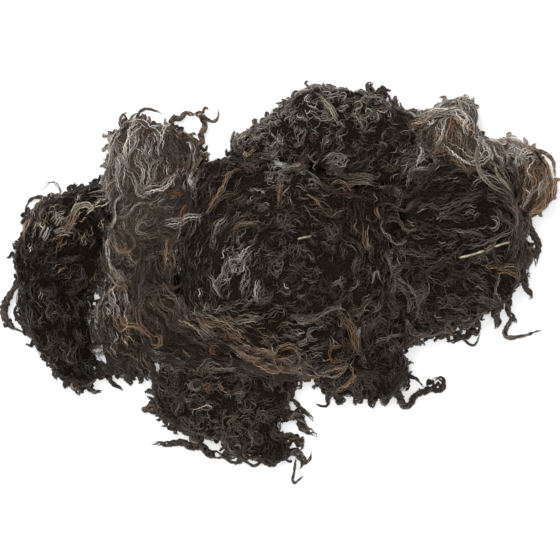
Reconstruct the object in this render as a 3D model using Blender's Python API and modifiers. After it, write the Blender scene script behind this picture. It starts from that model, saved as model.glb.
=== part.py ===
"""A loose heap of curly raw wool locks, lying as it was laid out on a table.

The heap is eleven clumps of matted fleece that lean on one another. Each clump is a lumpy
cushion of wool with a flat underside, and the curly tips of its staples stand out of its
rim as separate ringlets that rest on the table.

Frame: metres, +Z up, the table at Z = 0, the middle of the heap's outline at X = Y = 0.
+Y is the far side of the heap, as it is seen from straight above.
"""

import math

import bmesh
import bpy
import numpy as np
from mathutils import Matrix, Vector

MM = 0.001
HEAP_NAME = "curly_wool_locks"

# How a clump's skin is made, in millimetres
SKIN_VOXEL = 4.0
SKIN_SMOOTHING_STEPS = 5
TUFT_SIZE = 17.0
TUFT_RELIEF = 8.0
GAP_BETWEEN_CLUMPS = 0.75
SHARPEST_CORNER = 2.0
FLOOR_CUTTER_SIDE = 600.0
FLOOR_CUTTER_DEPTH = 80.0

# How a ringlet is made
POINTS_PER_TURN = 6
POINTS_ON_A_PLAIN_LOCK = 7
RING_STEP_DEGREES = 30.0
ROOT_HEIGHT_IN_THICKNESSES = 2.4
LIFTED_SHARE = 0.3
TIP_THICKNESS_SHARE = 0.3
TAPER_POWER = 2.5
TIP_CURL_SHARE = 0.55
CLEAR_OF_THE_TABLE = 0.15

# The lumps of fleece that make up each clump, in millimetres and degrees:
# middle x, y, z, half length, half width, half height, turn about +Z.
# The first clump lies on top, and each later one gives way to those before it.
CLUMPS = {
    "pale_upper_left": {
        "faces": 620,
        "wool": "taupe",
        "lumps": [
            (-96, 98, 14, 31, 16, 20, 0),
            (-114, 98, 12, 14, 16, 17, 20),
            (-106, 108, 10, 15, 10, 14, 0),
            (-90, 105, 10, 14, 11, 14, 0),
            (-76, 95, 12, 17, 15, 18, 0),
            (-98, 72, 17, 30, 23, 22, 0),
            (-95, 45, 17, 31, 24, 25, 0),
            (-74, 54, 16, 14, 18, 22, 30),
            (-116, 24, 12, 16, 22, 20, 15),
        ],
    },
    "pale_upper_right": {
        "faces": 540,
        "wool": "taupe",
        "lumps": [
            (129, 126, 11, 14, 8, 14, 20),
            (140, 121, 10, 8, 10, 13, 0),
            (111, 116, 14, 18, 8, 17, 0),
            (128, 104, 18, 22, 17, 26, -30),
            (144, 94, 17, 20, 13, 24, -20),
            (166, 95, 12, 20, 9, 16, 0),
        ],
    },
    "crown": {
        "faces": 880,
        "wool": "charcoal",
        "lumps": [
            (0, 22, 24, 62, 46, 46, 0),
            (38, 8, 22, 46, 46, 42, 0),
            (66, 46, 18, 28, 28, 34, 0),
            (-34, -4, 20, 42, 40, 40, 20),
            (-58, 30, 15, 22, 24, 28, 0),
            (14, 58, 20, 46, 26, 34, 0),
            (-26, 74, 14, 34, 20, 26, 8),
            (-48, 62, 14, 22, 24, 28, 20),
            (-8, -38, 18, 46, 22, 32, -14),
            (30, -48, 14, 32, 22, 26, 0),
        ],
    },
    "far_ridge": {
        "faces": 760,
        "wool": "charcoal",
        "lumps": [
            (-18, 103, 11, 17, 11, 15, 16),
            (9, 111, 16, 20, 20, 24, 30),
            (12, 96, 12, 18, 12, 20, 0),
            (34, 120, 20, 29, 25, 30, 4),
            (62, 118, 19, 26, 22, 29, -4),
            (86, 108, 16, 20, 19, 25, -10),
            (62, 88, 20, 46, 20, 32, 0),
            (98, 84, 14, 22, 18, 26, 0),
        ],
    },
    "brown_far_right": {
        "faces": 400,
        "wool": "brown",
        "lumps": [
            (188, 91, 9, 12, 9, 11, 0),
            (187, 72, 13, 16, 20, 18, 0),
            (194, 67, 9, 11, 12, 12, 0),
        ],
    },
    "right_flank": {
        "faces": 800,
        "wool": "charcoal",
        "lumps": [
            (124, 60, 20, 42, 32, 34, -10),
            (156, 40, 19, 27, 38, 32, 0),
            (108, 26, 20, 36, 34, 34, 0),
            (163, 74, 16, 18, 20, 26, 0),
            (152, 6, 15, 29, 24, 26, 0),
            (168, 14, 12, 16, 22, 18, 0),
            (118, -8, 16, 36, 26, 28, 0),
            (112, -30, 10, 17, 13, 16, 10),
        ],
    },
    "left_flank": {
        "faces": 720,
        "wool": "black",
        "lumps": [
            (-160, 38, 17, 32, 26, 28, 27),
            (-138, 48, 14, 20, 24, 24, 0),
            (-170, 14, 17, 27, 27, 27, 0),
            (-148, 14, 15, 22, 22, 24, 0),
            (-173, -20, 13, 22, 25, 20, 0),
            (-158, -24, 12, 16, 18, 18, 0),
            (-158, -46, 11, 20, 22, 17, 10),
            (-150, -65, 8, 18, 14, 12, 0),
        ],
    },
    "brown_roll": {
        "faces": 620,
        "wool": "brown",
        "lumps": [
            (-88, 2, 14, 28, 32, 27, 10),
            (-82, -30, 15, 30, 24, 24, -30),
            (-58, -48, 14, 32, 18, 22, -24),
            (-14, -56, 12, 30, 14, 19, -14),
            (14, -62, 10, 18, 10, 15, 0),
        ],
    },
    "near_right": {
        "faces": 600,
        "wool": "charcoal",
        "lumps": [
            (70, -46, 14, 22, 24, 23, 0),
            (80, -68, 12, 18, 18, 19, 0),
            (60, -74, 10, 20, 13, 15, 0),
            (44, -70, 11, 16, 16, 17, 20),
            (84, -30, 12, 20, 18, 20, 0),
        ],
    },
    "near_middle": {
        "faces": 740,
        "wool": "charcoal",
        "lumps": [
            (-68, -76, 12, 26, 22, 20, 0),
            (-36, -80, 13, 36, 26, 22, 0),
            (-8, -82, 11, 18, 18, 18, 0),
            (-50, -102, 11, 32, 16, 16, -8),
            (-80, -94, 9, 11, 11, 13, 0),
            (-22, -112, 10, 24, 18, 15, -10),
            (-4, -128, 7, 14, 11, 10, 0),
        ],
    },
    "near_left": {
        "faces": 500,
        "wool": "brown",
        "lumps": [
            (-124, -6, 9, 11, 18, 14, 0),
            (-124, -28, 9, 15, 16, 14, 10),
            (-112, -44, 9, 21, 13, 13, -14),
            (-119, -59, 8, 20, 13, 12, 0),
            (-98, -60, 8, 14, 12, 11, 0),
        ],
    },
}

# The staples' curly tips round each clump's rim, in millimetres and degrees: where the lock
# leaves the fleece (x, y), its middle (x, y), its tip (x, y), the radius of its curl, how many
# turns it curls, the half thickness of the lock at its root, and the ring that its tip ends in:
# radius (0 for none) and how far the ring goes round (to its left when positive).
RINGLETS = {
    "pale_upper_left": [
        (-112, 102, -119, 121, -110, 127, 0.3, 1.0, 1.4, 0, 0),
        (-108, 104, -112, 120, -103, 127, 0.3, 1.0, 1.4, 0, 0),
        (-108, 118, -100, 129, -86, 124, 0.3, 1.0, 1.3, 0, 0),
        (-103, 110, -104, 119, -100, 126, 1.0, 1.0, 4.2, 0, 0),
        (-80, 104, -80, 116, -79, 127, 1.2, 2.0, 2.4, 0, 0),
        (-79, 119, -72, 124, -60, 126, 1.2, 2.0, 2.2, 0, 0),
        (-66, 98, -57, 110, -59, 127, 1.2, 2.5, 3.0, 0, 0),
        (-59, 124, -51, 120, -46, 122, 0.2, 1.0, 1.3, 6, 100),
        (-66, 96, -57, 90, -62, 81, 0.2, 1.0, 1.2, 0, 0),
        (-120, 104, -125, 108, -129, 112, 1.0, 1.0, 2.6, 0, 0),
        (-122, 94, -127, 93, -130, 94, 1.0, 1.0, 2.2, 0, 0),
        (-120, 80, -126, 84, -128, 80, 1.0, 1.0, 2.2, 0, 0),
    ],
    "pale_upper_right": [
        (122, 127, 119, 131, 119, 134, 0.8, 1.0, 2.2, 0, 0),
        (131, 130, 137, 136, 142, 140, 0.8, 1.0, 3.4, 0, 0),
        (142, 117, 147, 115, 150, 112, 0.8, 1.0, 2.4, 0, 0),
        (164, 98, 170, 106, 179, 106, 1.2, 1.5, 3.0, 0, 0),
    ],
    "crown": [
        (-50, 70, -57, 80, -53, 87, 1.0, 1.0, 3.2, 0, 0),
    ],
    "far_ridge": [
        (-28, 102, -33, 104, -36, 103, 1.2, 1.0, 2.6, 0, 0),
        (-12, 108, -17, 114, -21, 119, 1.2, 1.0, 3.0, 0, 0),
        (-4, 112, -8, 118, -14, 120, 1.2, 1.0, 2.4, 0, 0),
        (4, 124, 4, 131, 1, 136, 1.2, 1.0, 2.6, 0, 0),
        (10, 126, 9, 132, 12, 137, 1.2, 1.0, 2.6, 0, 0),
        (38, 136, 38, 141, 42, 145, 1.2, 1.0, 2.6, 0, 0),
        (58, 134, 60, 139, 60, 144, 1.4, 1.0, 3.0, 0, 0),
        (68, 132, 67, 142, 71, 149, 1.4, 1.5, 4.0, 0, 0),
        (73, 128, 76, 144, 79, 137, 1.0, 1.5, 3.4, 0, 0),
        (76, 138, 80, 140, 83, 138, 0.3, 1.0, 1.6, 0, 0),
        (84, 122, 86, 130, 90, 135, 1.2, 1.5, 3.0, 0, 0),
        (88, 118, 96, 126, 107, 128, 0.8, 1.5, 2.6, 0, 0),
    ],
    "brown_far_right": [
        (190, 97, 204, 92, 207, 77, 0.6, 1.0, 1.9, 0, 0),
        (196, 76, 203, 75, 206, 69, 1.0, 1.0, 2.2, 0, 0),
        (198, 62, 191, 50, 178, 51, 0.6, 1.0, 2.4, 0, 0),
    ],
    "right_flank": [
        (176, 52, 192, 33, 191, 5, 1.0, 2.0, 3.4, 0, 0),
        (172, 38, 186, 26, 187, 8, 1.4, 2.0, 4.6, 0, 0),
        (176, 12, 186, -3, 186, -14, 1.6, 1.5, 3.0, 0, 0),
        (168, -8, 173, -22, 177, -34, 1.4, 1.5, 3.0, 0, 0),
        (175, -28, 178, -40, 201, -35, 0.4, 1.5, 2.4, 0, 0),
        (162, -8, 162, -24, 162, -35, 1.0, 1.5, 5.8, 0, 0),
        (156, -12, 149, -26, 147, -40, 1.4, 2.0, 3.6, 0, 0),
        (148, -36, 138, -42, 124, -46, 1.2, 3.0, 3.0, 0, 0),
        (138, -43, 146, -48, 151, -37, 0.2, 1.0, 1.1, 0, 0),
        (134, -22, 128, -33, 134, -42, 1.4, 2.0, 3.0, 0, 0),
        (130, -22, 140, -32, 151, -34, 1.4, 1.5, 4.0, 0, 0),
        (104, -36, 104, -44, 109, -50, 1.4, 1.5, 3.2, 0, 0),
    ],
    "left_flank": [
        (-156, 54, -180, 63, -191, 51, 0.4, 1.0, 1.8, 0, 0),
        (-150, 64, -149, 69, -148, 74, 1.2, 1.0, 2.6, 0, 0),
        (-180, 40, -188, 44, -194, 42, 1.2, 1.0, 3.0, 0, 0),
        (-184, 24, -191, 26, -197, 20, 1.2, 1.0, 2.6, 0, 0),
        (-186, 4, -204, -26, -182, -40, 0.6, 1.5, 3.4, 0, 0),
        (-188, -8, -198, -23, -187, -38, 0.3, 1.0, 1.4, 0, 0),
        (-178, -32, -184, -38, -185, -46, 1.4, 1.5, 3.2, 0, 0),
        (-170, -46, -175, -53, -178, -60, 1.4, 1.5, 3.0, 0, 0),
        (-162, -60, -167, -67, -168, -75, 1.6, 1.5, 3.0, 0, 0),
        (-154, -70, -152, -79, -151, -87, 1.6, 1.5, 3.2, 0, 0),
        (-148, -72, -140, -82, -130, -82, 0.6, 1.5, 2.0, 0, 0),
        (-160, -8, -147, -17, -137, -23, 0.8, 1.5, 3.4, 0, 0),
    ],
    "near_right": [
        (88, -82, 96, -91, 108, -83, 0.8, 1.5, 3.2, 0, 0),
        (105, -82, 117, -84, 121, -78, 0.4, 1.0, 2.8, 5, 190),
        (92, -77, 101, -72, 109, -81, 0.3, 1.0, 1.5, 0, 0),
        (80, -80, 80, -87, 80, -94, 1.4, 1.0, 4.4, 0, 0),
        (69, -80, 70, -88, 71, -95, 1.4, 1.0, 4.4, 0, 0),
        (60, -80, 59, -87, 57, -94, 1.2, 1.0, 3.4, 0, 0),
        (46, -78, 45, -84, 44, -91, 1.2, 1.0, 3.4, 0, 0),
        (44, -78, 38, -87, 36, -94, 0.8, 1.5, 2.6, 0, 0),
        (37, -91, 33, -94, 26, -91, 0.2, 1.0, 1.1, 0, 0),
        (38, -72, 31, -76, 27, -82, 0.8, 1.0, 2.8, 0, 0),
    ],
    "near_middle": [
        (-2, -131, -50, -130, -98, -122, 1.8, 9.0, 3.6, 0, 0),
        (-62, -106, -62, -117, -64, -127, 1.2, 1.5, 5.0, 0, 0),
        (-4, -118, 14, -118, 15, -132, 0.8, 1.5, 3.0, 0, 0),
        (2, -131, 17, -130, 13, -141, 1.0, 1.5, 4.0, 0, 0),
        (13, -133, 11, -151, 21, -141, 0.2, 1.0, 1.5, 0, 0),
        (16, -137, 22, -135, 24, -127, 0.3, 1.0, 1.3, 0, 0),
        (-2, -92, 14, -103, 27, -119, 1.8, 2.5, 4.8, 0, 0),
        (4, -86, 18, -96, 26, -107, 0.6, 1.5, 2.0, 0, 0),
        (-78, -95, -92, -96, -104, -95, 1.4, 2.5, 4.6, 0, 0),
        (-66, -104, -72, -108, -79, -110, 1.2, 1.0, 3.4, 0, 0),
        (-84, -82, -90, -84, -94, -85, 1.0, 1.0, 2.6, 0, 0),
        (0, -78, 8, -81, 13, -78, 1.0, 1.0, 3.0, 0, 0),
        (-8, -122, -8, -130, -6, -139, 1.4, 1.5, 3.4, 0, 0),
    ],
    "near_left": [
        (-128, -62, -125, -75, -114, -83, 0.8, 1.5, 2.2, 0, 0),
        (-114, -62, -112, -72, -112, -80, 1.4, 1.5, 3.2, 0, 0),
        (-104, -62, -103, -70, -106, -77, 1.4, 1.5, 3.0, 0, 0),
        (-96, -62, -94, -69, -92, -77, 1.2, 1.5, 2.6, 0, 0),
    ],
}

# Each kind of wool: sRGB colour and roughness
WOOLS = {
    "charcoal": ((0.21, 0.19, 0.18), 0.85),
    "black": ((0.15, 0.13, 0.12), 0.85),
    "brown": ((0.34, 0.26, 0.20), 0.85),
    "taupe": ((0.47, 0.42, 0.38), 0.85),
}


def linear(channel):
    """An sRGB channel as Blender's linear value."""
    return channel / 12.92 if channel <= 0.04045 else ((channel + 0.055) / 1.055) ** 2.4


def wool_material(name):
    colour, roughness = WOOLS[name]
    material = bpy.data.materials.new("wool_" + name)
    material.use_nodes = True
    shader = material.node_tree.nodes["Principled BSDF"]
    shader.inputs["Base Color"].default_value = (*map(linear, colour), 1.0)
    shader.inputs["Roughness"].default_value = roughness
    shader.inputs["Metallic"].default_value = 0.0
    return material


def clear_scene():
    for thing in list(bpy.data.objects):
        bpy.data.objects.remove(thing)


def new_collection(name):
    collection = bpy.data.collections.new(name)
    bpy.context.scene.collection.children.link(collection)
    return collection


def bake_modifiers(thing):
    """Replaces the object's mesh with what its modifiers make of it."""
    bpy.context.view_layer.update()
    graph = bpy.context.evaluated_depsgraph_get()
    mesh = bpy.data.meshes.new_from_object(thing.evaluated_get(graph))
    thing.modifiers.clear()
    thing.data = mesh


def as_helper(thing):
    thing.hide_render = True
    thing.display_type = "WIRE"


def lumps_mesh(name, lumps):
    """One ball of fleece for each row, stretched and turned, in a single mesh."""
    mesh = bpy.data.meshes.new(name)
    form = bmesh.new()
    for x, y, z, half_length, half_width, half_height, turn in lumps:
        place = Matrix.Translation(Vector((x, y, z)) * MM)
        turned = Matrix.Rotation(math.radians(turn), 4, "Z")
        stretch = Matrix.Diagonal((half_length * MM, half_width * MM, half_height * MM, 1))
        bmesh.ops.create_icosphere(
            form, subdivisions=3, radius=1.0, matrix=place @ turned @ stretch
        )
    form.to_mesh(mesh)
    form.free()
    return mesh


def tuft_texture():
    texture = bpy.data.textures.new("tufts", "CLOUDS")
    texture.noise_scale = TUFT_SIZE * MM
    texture.noise_depth = 1
    return texture


def clump_skin(name, clump, collection, tufts):
    """The lumps fused under one skin, softened, then tufted all over."""
    thing = bpy.data.objects.new(name, lumps_mesh(name, clump["lumps"]))
    collection.objects.link(thing)
    fuse = thing.modifiers.new("fuse_lumps", "REMESH")
    fuse.mode = "VOXEL"
    fuse.voxel_size = SKIN_VOXEL * MM
    soften = thing.modifiers.new("soften", "SMOOTH")
    soften.factor = 0.5
    soften.iterations = SKIN_SMOOTHING_STEPS
    tuft = thing.modifiers.new("tufts", "DISPLACE")
    tuft.texture = tufts
    tuft.texture_coords = "GLOBAL"
    tuft.strength = TUFT_RELIEF * MM
    tuft.mid_level = 0.4
    even_out = thing.modifiers.new("even_out", "REMESH")
    even_out.mode = "VOXEL"
    even_out.voxel_size = SKIN_VOXEL * MM
    bake_modifiers(thing)
    thin_out = thing.modifiers.new("thin_out", "DECIMATE")
    thin_out.ratio = clump["faces"] / (2 * len(thing.data.polygons))
    bake_modifiers(thing)
    return thing


def floor_cutter(collection):
    """A slab whose top is the table, which gives every clump its flat underside."""
    mesh = bpy.data.meshes.new("floor_cutter")
    form = bmesh.new()
    size = (FLOOR_CUTTER_SIDE * MM, FLOOR_CUTTER_SIDE * MM, FLOOR_CUTTER_DEPTH * MM)
    below = Matrix.Translation((0, 0, -FLOOR_CUTTER_DEPTH * MM / 2))
    bmesh.ops.create_cube(form, size=1.0, matrix=below @ Matrix.Diagonal((*size, 1)))
    form.to_mesh(mesh)
    form.free()
    cutter = bpy.data.objects.new("floor_cutter", mesh)
    collection.objects.link(cutter)
    as_helper(cutter)
    return cutter


def grown_copy(thing, collection):
    """A copy of a clump that stands out by the gap, to hollow its neighbours to its shape.

    Each corner moves along its normal, further where the clump is sharp there, so that
    every face moves out by the gap.
    """
    form = bmesh.new()
    form.from_mesh(thing.data)
    form.normal_update()
    for vertex in form.verts:
        reach = min(vertex.calc_shell_factor(), SHARPEST_CORNER)
        vertex.co += vertex.normal * (GAP_BETWEEN_CLUMPS * MM * reach)
    mesh = bpy.data.meshes.new(thing.name + "_cutter")
    form.to_mesh(mesh)
    form.free()
    cutter = bpy.data.objects.new(mesh.name, mesh)
    collection.objects.link(cutter)
    as_helper(cutter)
    return cutter


def cut(thing, cutter):
    boolean = thing.modifiers.new("cut", "BOOLEAN")
    boolean.operation = "DIFFERENCE"
    boolean.solver = "MANIFOLD"
    boolean.object = cutter
    bake_modifiers(thing)


def largest_piece_only(thing):
    """Drops the scraps that a cut leaves behind, and keeps the clump itself."""
    form = bmesh.new()
    form.from_mesh(thing.data)
    unseen = set(form.verts)
    islands = []
    while unseen:
        island, edge_of_it = set(), [unseen.pop()]
        while edge_of_it:
            vertex = edge_of_it.pop()
            island.add(vertex)
            near = [edge.other_vert(vertex) for edge in vertex.link_edges]
            fresh = [v for v in near if v in unseen]
            unseen.difference_update(fresh)
            edge_of_it.extend(fresh)
        islands.append(island)
    islands.sort(key=len)
    for island in islands[:-1]:
        bmesh.ops.delete(form, geom=list(island), context="VERTS")
    form.to_mesh(thing.data)
    form.free()


def flat_arc(start, heading, radius, degrees, steps):
    """Points of an arc that goes on from start along heading, to its left when degrees > 0."""
    side = math.copysign(1.0, degrees)
    left = np.array([-heading[1], heading[0]])
    centre = start + left * side * radius
    turned = math.atan2(heading[1], heading[0]) - side * math.pi / 2.0
    angle = turned + np.radians(degrees) * np.arange(1, steps + 1) / steps
    return centre + radius * np.column_stack([np.cos(angle), np.sin(angle)])


def ringlet_path(
    root_x, root_y, middle_x, middle_y, tip_x, tip_y, curl, turns, thickness, ring, ring_degrees
):
    """Points along a ringlet and the lock's half thickness at each, in millimetres.

    The lock's own line runs over the table from its root through its middle to its tip. The wool
    winds round that line as a helix that tightens towards the tip, and rests on the table. The
    ring at the tip, if there is one, goes on from there as a flat arc.
    """
    count = max(POINTS_ON_A_PLAIN_LOCK, round(turns * POINTS_PER_TURN) + 1)
    ring_count = round(abs(ring_degrees) / RING_STEP_DEGREES)
    whole_share = np.linspace(0.0, 1.0, count + ring_count)
    half = thickness * (1.0 - (1.0 - TIP_THICKNESS_SHARE) * whole_share**TAPER_POWER)
    share = np.linspace(0.0, 1.0, count)
    root, tip = np.array([root_x, root_y], float), np.array([tip_x, tip_y], float)
    pull = 2.0 * np.array([middle_x, middle_y], float) - (root + tip) / 2.0
    line = np.outer((1.0 - share) ** 2, root) + np.outer(2.0 * share * (1.0 - share), pull)
    line += np.outer(share**2, tip)
    heading = np.outer(1.0 - share, pull - root) + np.outer(share, tip - pull)
    heading /= np.linalg.norm(heading, axis=1)[:, None]
    left = np.column_stack([-heading[:, 1], heading[:, 0]])
    radius = curl * (1.0 - (1.0 - TIP_CURL_SHARE) * share)
    angle = 2.0 * math.pi * turns * share
    flat = line + left * (radius * np.sin(angle))[:, None]
    axis_height = radius + half[:count] + CLEAR_OF_THE_TABLE
    lift = max(ROOT_HEIGHT_IN_THICKNESSES * thickness - axis_height[0], 0.0)
    lifted = np.clip(1.0 - share / LIFTED_SHARE, 0.0, 1.0) ** 2 * lift
    height = axis_height + lifted - radius * np.cos(angle)
    if ring_count:
        arc = flat_arc(flat[-1], heading[-1], ring, ring_degrees, ring_count)
        flat = np.vstack([flat, arc])
        height = np.append(height, np.full(ring_count, height[-1]))
    return np.column_stack([flat, height]), half


def ringlet(name, row, collection):
    """A four-sided tapering tube along a ringlet's path, as a closed mesh."""
    points, half = ringlet_path(*row)
    curve = bpy.data.curves.new(name, "CURVE")
    curve.dimensions = "3D"
    curve.bevel_depth = MM
    curve.bevel_resolution = 0
    curve.use_fill_caps = True
    spline = curve.splines.new("POLY")
    spline.points.add(len(points) - 1)
    for knot, place, radius in zip(spline.points, points, half):
        knot.co = (*(place * MM), 1.0)
        knot.radius = radius
    guide = bpy.data.objects.new(name + "_guide", curve)
    collection.objects.link(guide)
    bpy.context.view_layer.update()
    graph = bpy.context.evaluated_depsgraph_get()
    mesh = bpy.data.meshes.new_from_object(guide.evaluated_get(graph))
    bpy.data.objects.remove(guide)
    form = bmesh.new()
    form.from_mesh(mesh)
    bmesh.ops.remove_doubles(form, verts=form.verts, dist=1e-6)
    bmesh.ops.recalc_face_normals(form, faces=form.faces)
    form.to_mesh(mesh)
    form.free()
    thing = bpy.data.objects.new(name, mesh)
    collection.objects.link(thing)
    as_helper(thing)
    return thing


def join(thing, lock):
    boolean = thing.modifiers.new("join", "BOOLEAN")
    boolean.operation = "UNION"
    boolean.solver = "MANIFOLD"
    boolean.object = lock
    bake_modifiers(thing)


def build_heap():
    clear_scene()
    heap = new_collection(HEAP_NAME)
    helpers = new_collection("cutters")
    tufts = tuft_texture()
    floor = floor_cutter(helpers)
    materials = {name: wool_material(name) for name in WOOLS}
    skins = {}
    for name, clump in CLUMPS.items():
        skin = clump_skin(name, clump, heap, tufts)
        for number, row in enumerate(RINGLETS.get(name, [])):
            join(skin, ringlet(f"{name}_ringlet_{number}", row, helpers))
        for earlier in list(skins):
            cut(skin, skins[earlier])
        largest_piece_only(skin)
        skins[name] = grown_copy(skin, helpers)
        cut(skin, floor)
        largest_piece_only(skin)
        skin.data.materials.clear()
        skin.data.materials.append(materials[clump["wool"]])


build_heap()
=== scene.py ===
import math

import bmesh
import bpy
import numpy as np
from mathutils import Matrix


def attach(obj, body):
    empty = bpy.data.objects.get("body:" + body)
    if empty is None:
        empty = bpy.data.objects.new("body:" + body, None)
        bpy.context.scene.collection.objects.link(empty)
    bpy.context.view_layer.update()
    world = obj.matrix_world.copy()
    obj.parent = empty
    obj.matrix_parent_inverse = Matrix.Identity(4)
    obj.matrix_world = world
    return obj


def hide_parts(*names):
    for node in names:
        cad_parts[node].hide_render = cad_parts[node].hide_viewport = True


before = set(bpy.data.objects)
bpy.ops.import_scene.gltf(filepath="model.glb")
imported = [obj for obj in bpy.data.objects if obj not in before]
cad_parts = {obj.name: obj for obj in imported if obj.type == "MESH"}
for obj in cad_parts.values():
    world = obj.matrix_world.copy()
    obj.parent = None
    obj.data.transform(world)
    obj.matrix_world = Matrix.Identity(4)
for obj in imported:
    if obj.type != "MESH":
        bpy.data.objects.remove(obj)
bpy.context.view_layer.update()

# The matted insides of the clumps
# Under its outer locks each clump of raw fleece is a dense, felted mat of short wool that
# holds together by itself. It lies a little below the locks and shows between them, in its own
# colour painted darker as the shade that falls between the locks.

MM = 0.001
# Three moves in and two out leave the ringlets off the mats and set them 1.2 mm deep
MAT_STEPS = ((-1.6, 3.0), (-1.6, 3.0), (-1.6, 3.0), (1.8, 3.0), (1.8, 4.0))
MAT_SMOOTHING = 4
LUMP_WIDTH = 11.0
LUMP_HEIGHT = 9.0


def linear(hex_colour):
    """A colour given as sRGB hex, turned to linear: ((c + 0.055) / 1.055) to the power 2.4,
    or c / 12.92 for the darkest values."""
    channels = np.array([int(hex_colour[start : start + 2], 16) / 255 for start in (1, 3, 5)])
    return np.where(channels <= 0.04045, channels / 12.92, ((channels + 0.055) / 1.055) ** 2.4)


def add_node(tree, kind, settings=None, values=None, links=()):
    """Adds one shader node: its own settings, the values on its sockets, and links, each as
    (socket, node that feeds it, that node's output)."""
    node = tree.nodes.new(kind)
    for name, value in (settings or {}).items():
        setattr(node, name, value)
    for socket, value in (values or {}).items():
        node.inputs[socket].default_value = value
    for socket, giver, output in links:
        tree.links.new(giver.outputs[output], node.inputs[socket])
    return node


def soft_lump(name, node_names, steps, lump_height, smoothing):
    """One closed skin round the named solids. Their triangles are put together and doubled
    corners made one. Each step then moves the skin along its outward directions by the first
    number and fuses what meets in cubes of the second, both in millimetres, so a move inward and
    back leaves out whatever is thinner than twice that move. A cloud noise last raises soft
    lumps 11 mm across, and what would be under the table is set on it."""
    form = bmesh.new()
    for node_name in node_names:
        form.from_mesh(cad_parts[node_name].data)
    bmesh.ops.remove_doubles(form, verts=form.verts, dist=1e-6)
    mesh = bpy.data.meshes.new(name)
    form.to_mesh(mesh)
    form.free()
    thing = bpy.data.objects.new(name, mesh)
    bpy.context.scene.collection.objects.link(thing)
    for number, (move, cube) in enumerate(steps):
        shift = thing.modifiers.new(f"shift_{number}", "DISPLACE")
        shift.strength = move * MM
        shift.mid_level = 0.0
        fuse = thing.modifiers.new(f"fuse_{number}", "REMESH")
        fuse.mode = "VOXEL"
        fuse.voxel_size = cube * MM
        fuse.use_smooth_shade = True
    soften = thing.modifiers.new("soften", "SMOOTH")
    soften.iterations = smoothing
    clouds = bpy.data.textures.new("lumps", "CLOUDS")
    clouds.noise_scale = LUMP_WIDTH * MM
    clouds.noise_depth = 1
    lumps = thing.modifiers.new("lumps", "DISPLACE")
    lumps.texture = clouds
    lumps.texture_coords = "LOCAL"
    lumps.strength = lump_height * MM
    lumps.mid_level = 0.5
    bpy.context.view_layer.update()
    graph = bpy.context.evaluated_depsgraph_get()
    made = bpy.data.meshes.new_from_object(thing.evaluated_get(graph))
    thing.modifiers.clear()
    bpy.data.textures.remove(clouds)
    thing.data = made
    made.name = name
    corners = np.empty(3 * len(made.vertices), np.float32)
    made.vertices.foreach_get("co", corners)
    corners[2::3] = np.maximum(corners[2::3], 0.0)
    made.vertices.foreach_set("co", corners)
    return thing


def matted_wool(name, hex_colour):
    """Felted raw wool: short fibres matted every way. It gives the eye a dull, fibrous ground with
    no gloss, in the mat's own colour painted darker as the shade between the locks."""
    material = bpy.data.materials.new(name)
    material.use_nodes = True
    tree = material.node_tree
    shader = tree.nodes["Principled BSDF"]
    shader.inputs["Roughness"].default_value = 0.9
    shader.inputs["Specular IOR Level"].default_value = 0.05
    place = add_node(tree, "ShaderNodeTexCoord")
    # The lines of equal value of a soft noise with 6 mm swells, 12 of them over its range, run
    # and curl side by side about 2 mm apart, as the paler fibres of a mat do
    swells = add_node(
        tree,
        "ShaderNodeTexNoise",
        values={"Scale": 160.0, "Detail": 2.0, "Roughness": 0.55, "Distortion": 1.4},
        links=[("Vector", place, "Object")],
    )
    repeated = add_node(
        tree,
        "ShaderNodeMath",
        settings={"operation": "MULTIPLY"},
        values={1: 12 * 2 * math.pi},
        links=[(0, swells, "Fac")],
    )
    fibres = add_node(tree, "ShaderNodeMath", settings={"operation": "SINE"}, links=[(0, repeated, 0)])
    # Fuzz of single fibres, about 1 mm across
    fuzz = add_node(
        tree,
        "ShaderNodeTexNoise",
        values={"Scale": 900.0, "Detail": 3.0, "Roughness": 0.7, "Distortion": 1.0},
        links=[("Vector", place, "Object")],
    )
    fibre_tone = add_node(
        tree,
        "ShaderNodeMapRange",
        values={"From Min": 0.1, "From Max": 1.0, "To Min": 0.6, "To Max": 2.6},
        links=[("Value", fibres, 0)],
    )
    fuzz_tone = add_node(
        tree,
        "ShaderNodeMapRange",
        values={"From Min": 0.35, "From Max": 0.65, "To Min": 0.35, "To Max": 1.7},
        links=[("Value", fuzz, "Fac")],
    )
    tone = add_node(
        tree,
        "ShaderNodeMath",
        settings={"operation": "MULTIPLY"},
        links=[(0, fibre_tone, "Result"), (1, fuzz_tone, "Result")],
    )
    colour = add_node(
        tree,
        "ShaderNodeVectorMath",
        settings={"operation": "SCALE"},
        values={"Vector": linear(hex_colour)},
        links=[("Scale", tone, 0)],
    )
    tree.links.new(colour.outputs["Vector"], shader.inputs["Base Color"])
    relief = add_node(
        tree,
        "ShaderNodeBump",
        values={"Strength": 1.0, "Distance": 0.0012},
        links=[("Height", tone, 0)],
    )
    tree.links.new(relief.outputs["Normal"], shader.inputs["Normal"])
    return material


# Each mat's colour is its wool's own, painted darker as the shade between the locks
MAT_COLOURS_WITH_SHADE = {
    "pale_upper_left": "#5a5048",
    "pale_upper_right": "#5f5347",
    "crown": "#2b231d",
    "far_ridge": "#2b241e",
    "brown_far_right": "#644e3d",
    "right_flank": "#2a221c",
    "left_flank": "#231b16",
    "brown_roll": "#3a2f27",
    "near_right": "#29211b",
    "near_middle": "#2a231d",
    "near_left": "#463b32",
}
for node_name, hex_colour in MAT_COLOURS_WITH_SHADE.items():
    mat = soft_lump(node_name + "_mat", [node_name], MAT_STEPS, LUMP_HEIGHT, MAT_SMOOTHING)
    mat.data.materials.clear()
    mat.data.materials.append(matted_wool("felted_wool_" + node_name, hex_colour))
    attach(mat, "root")
    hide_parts(node_name)


# The lie of the heap
# The outer locks of a fleece lie on the clumps as hair lies on a head. This section makes the
# smooth skin that they lie on, and finds the clump that each place on it belongs to.

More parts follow.
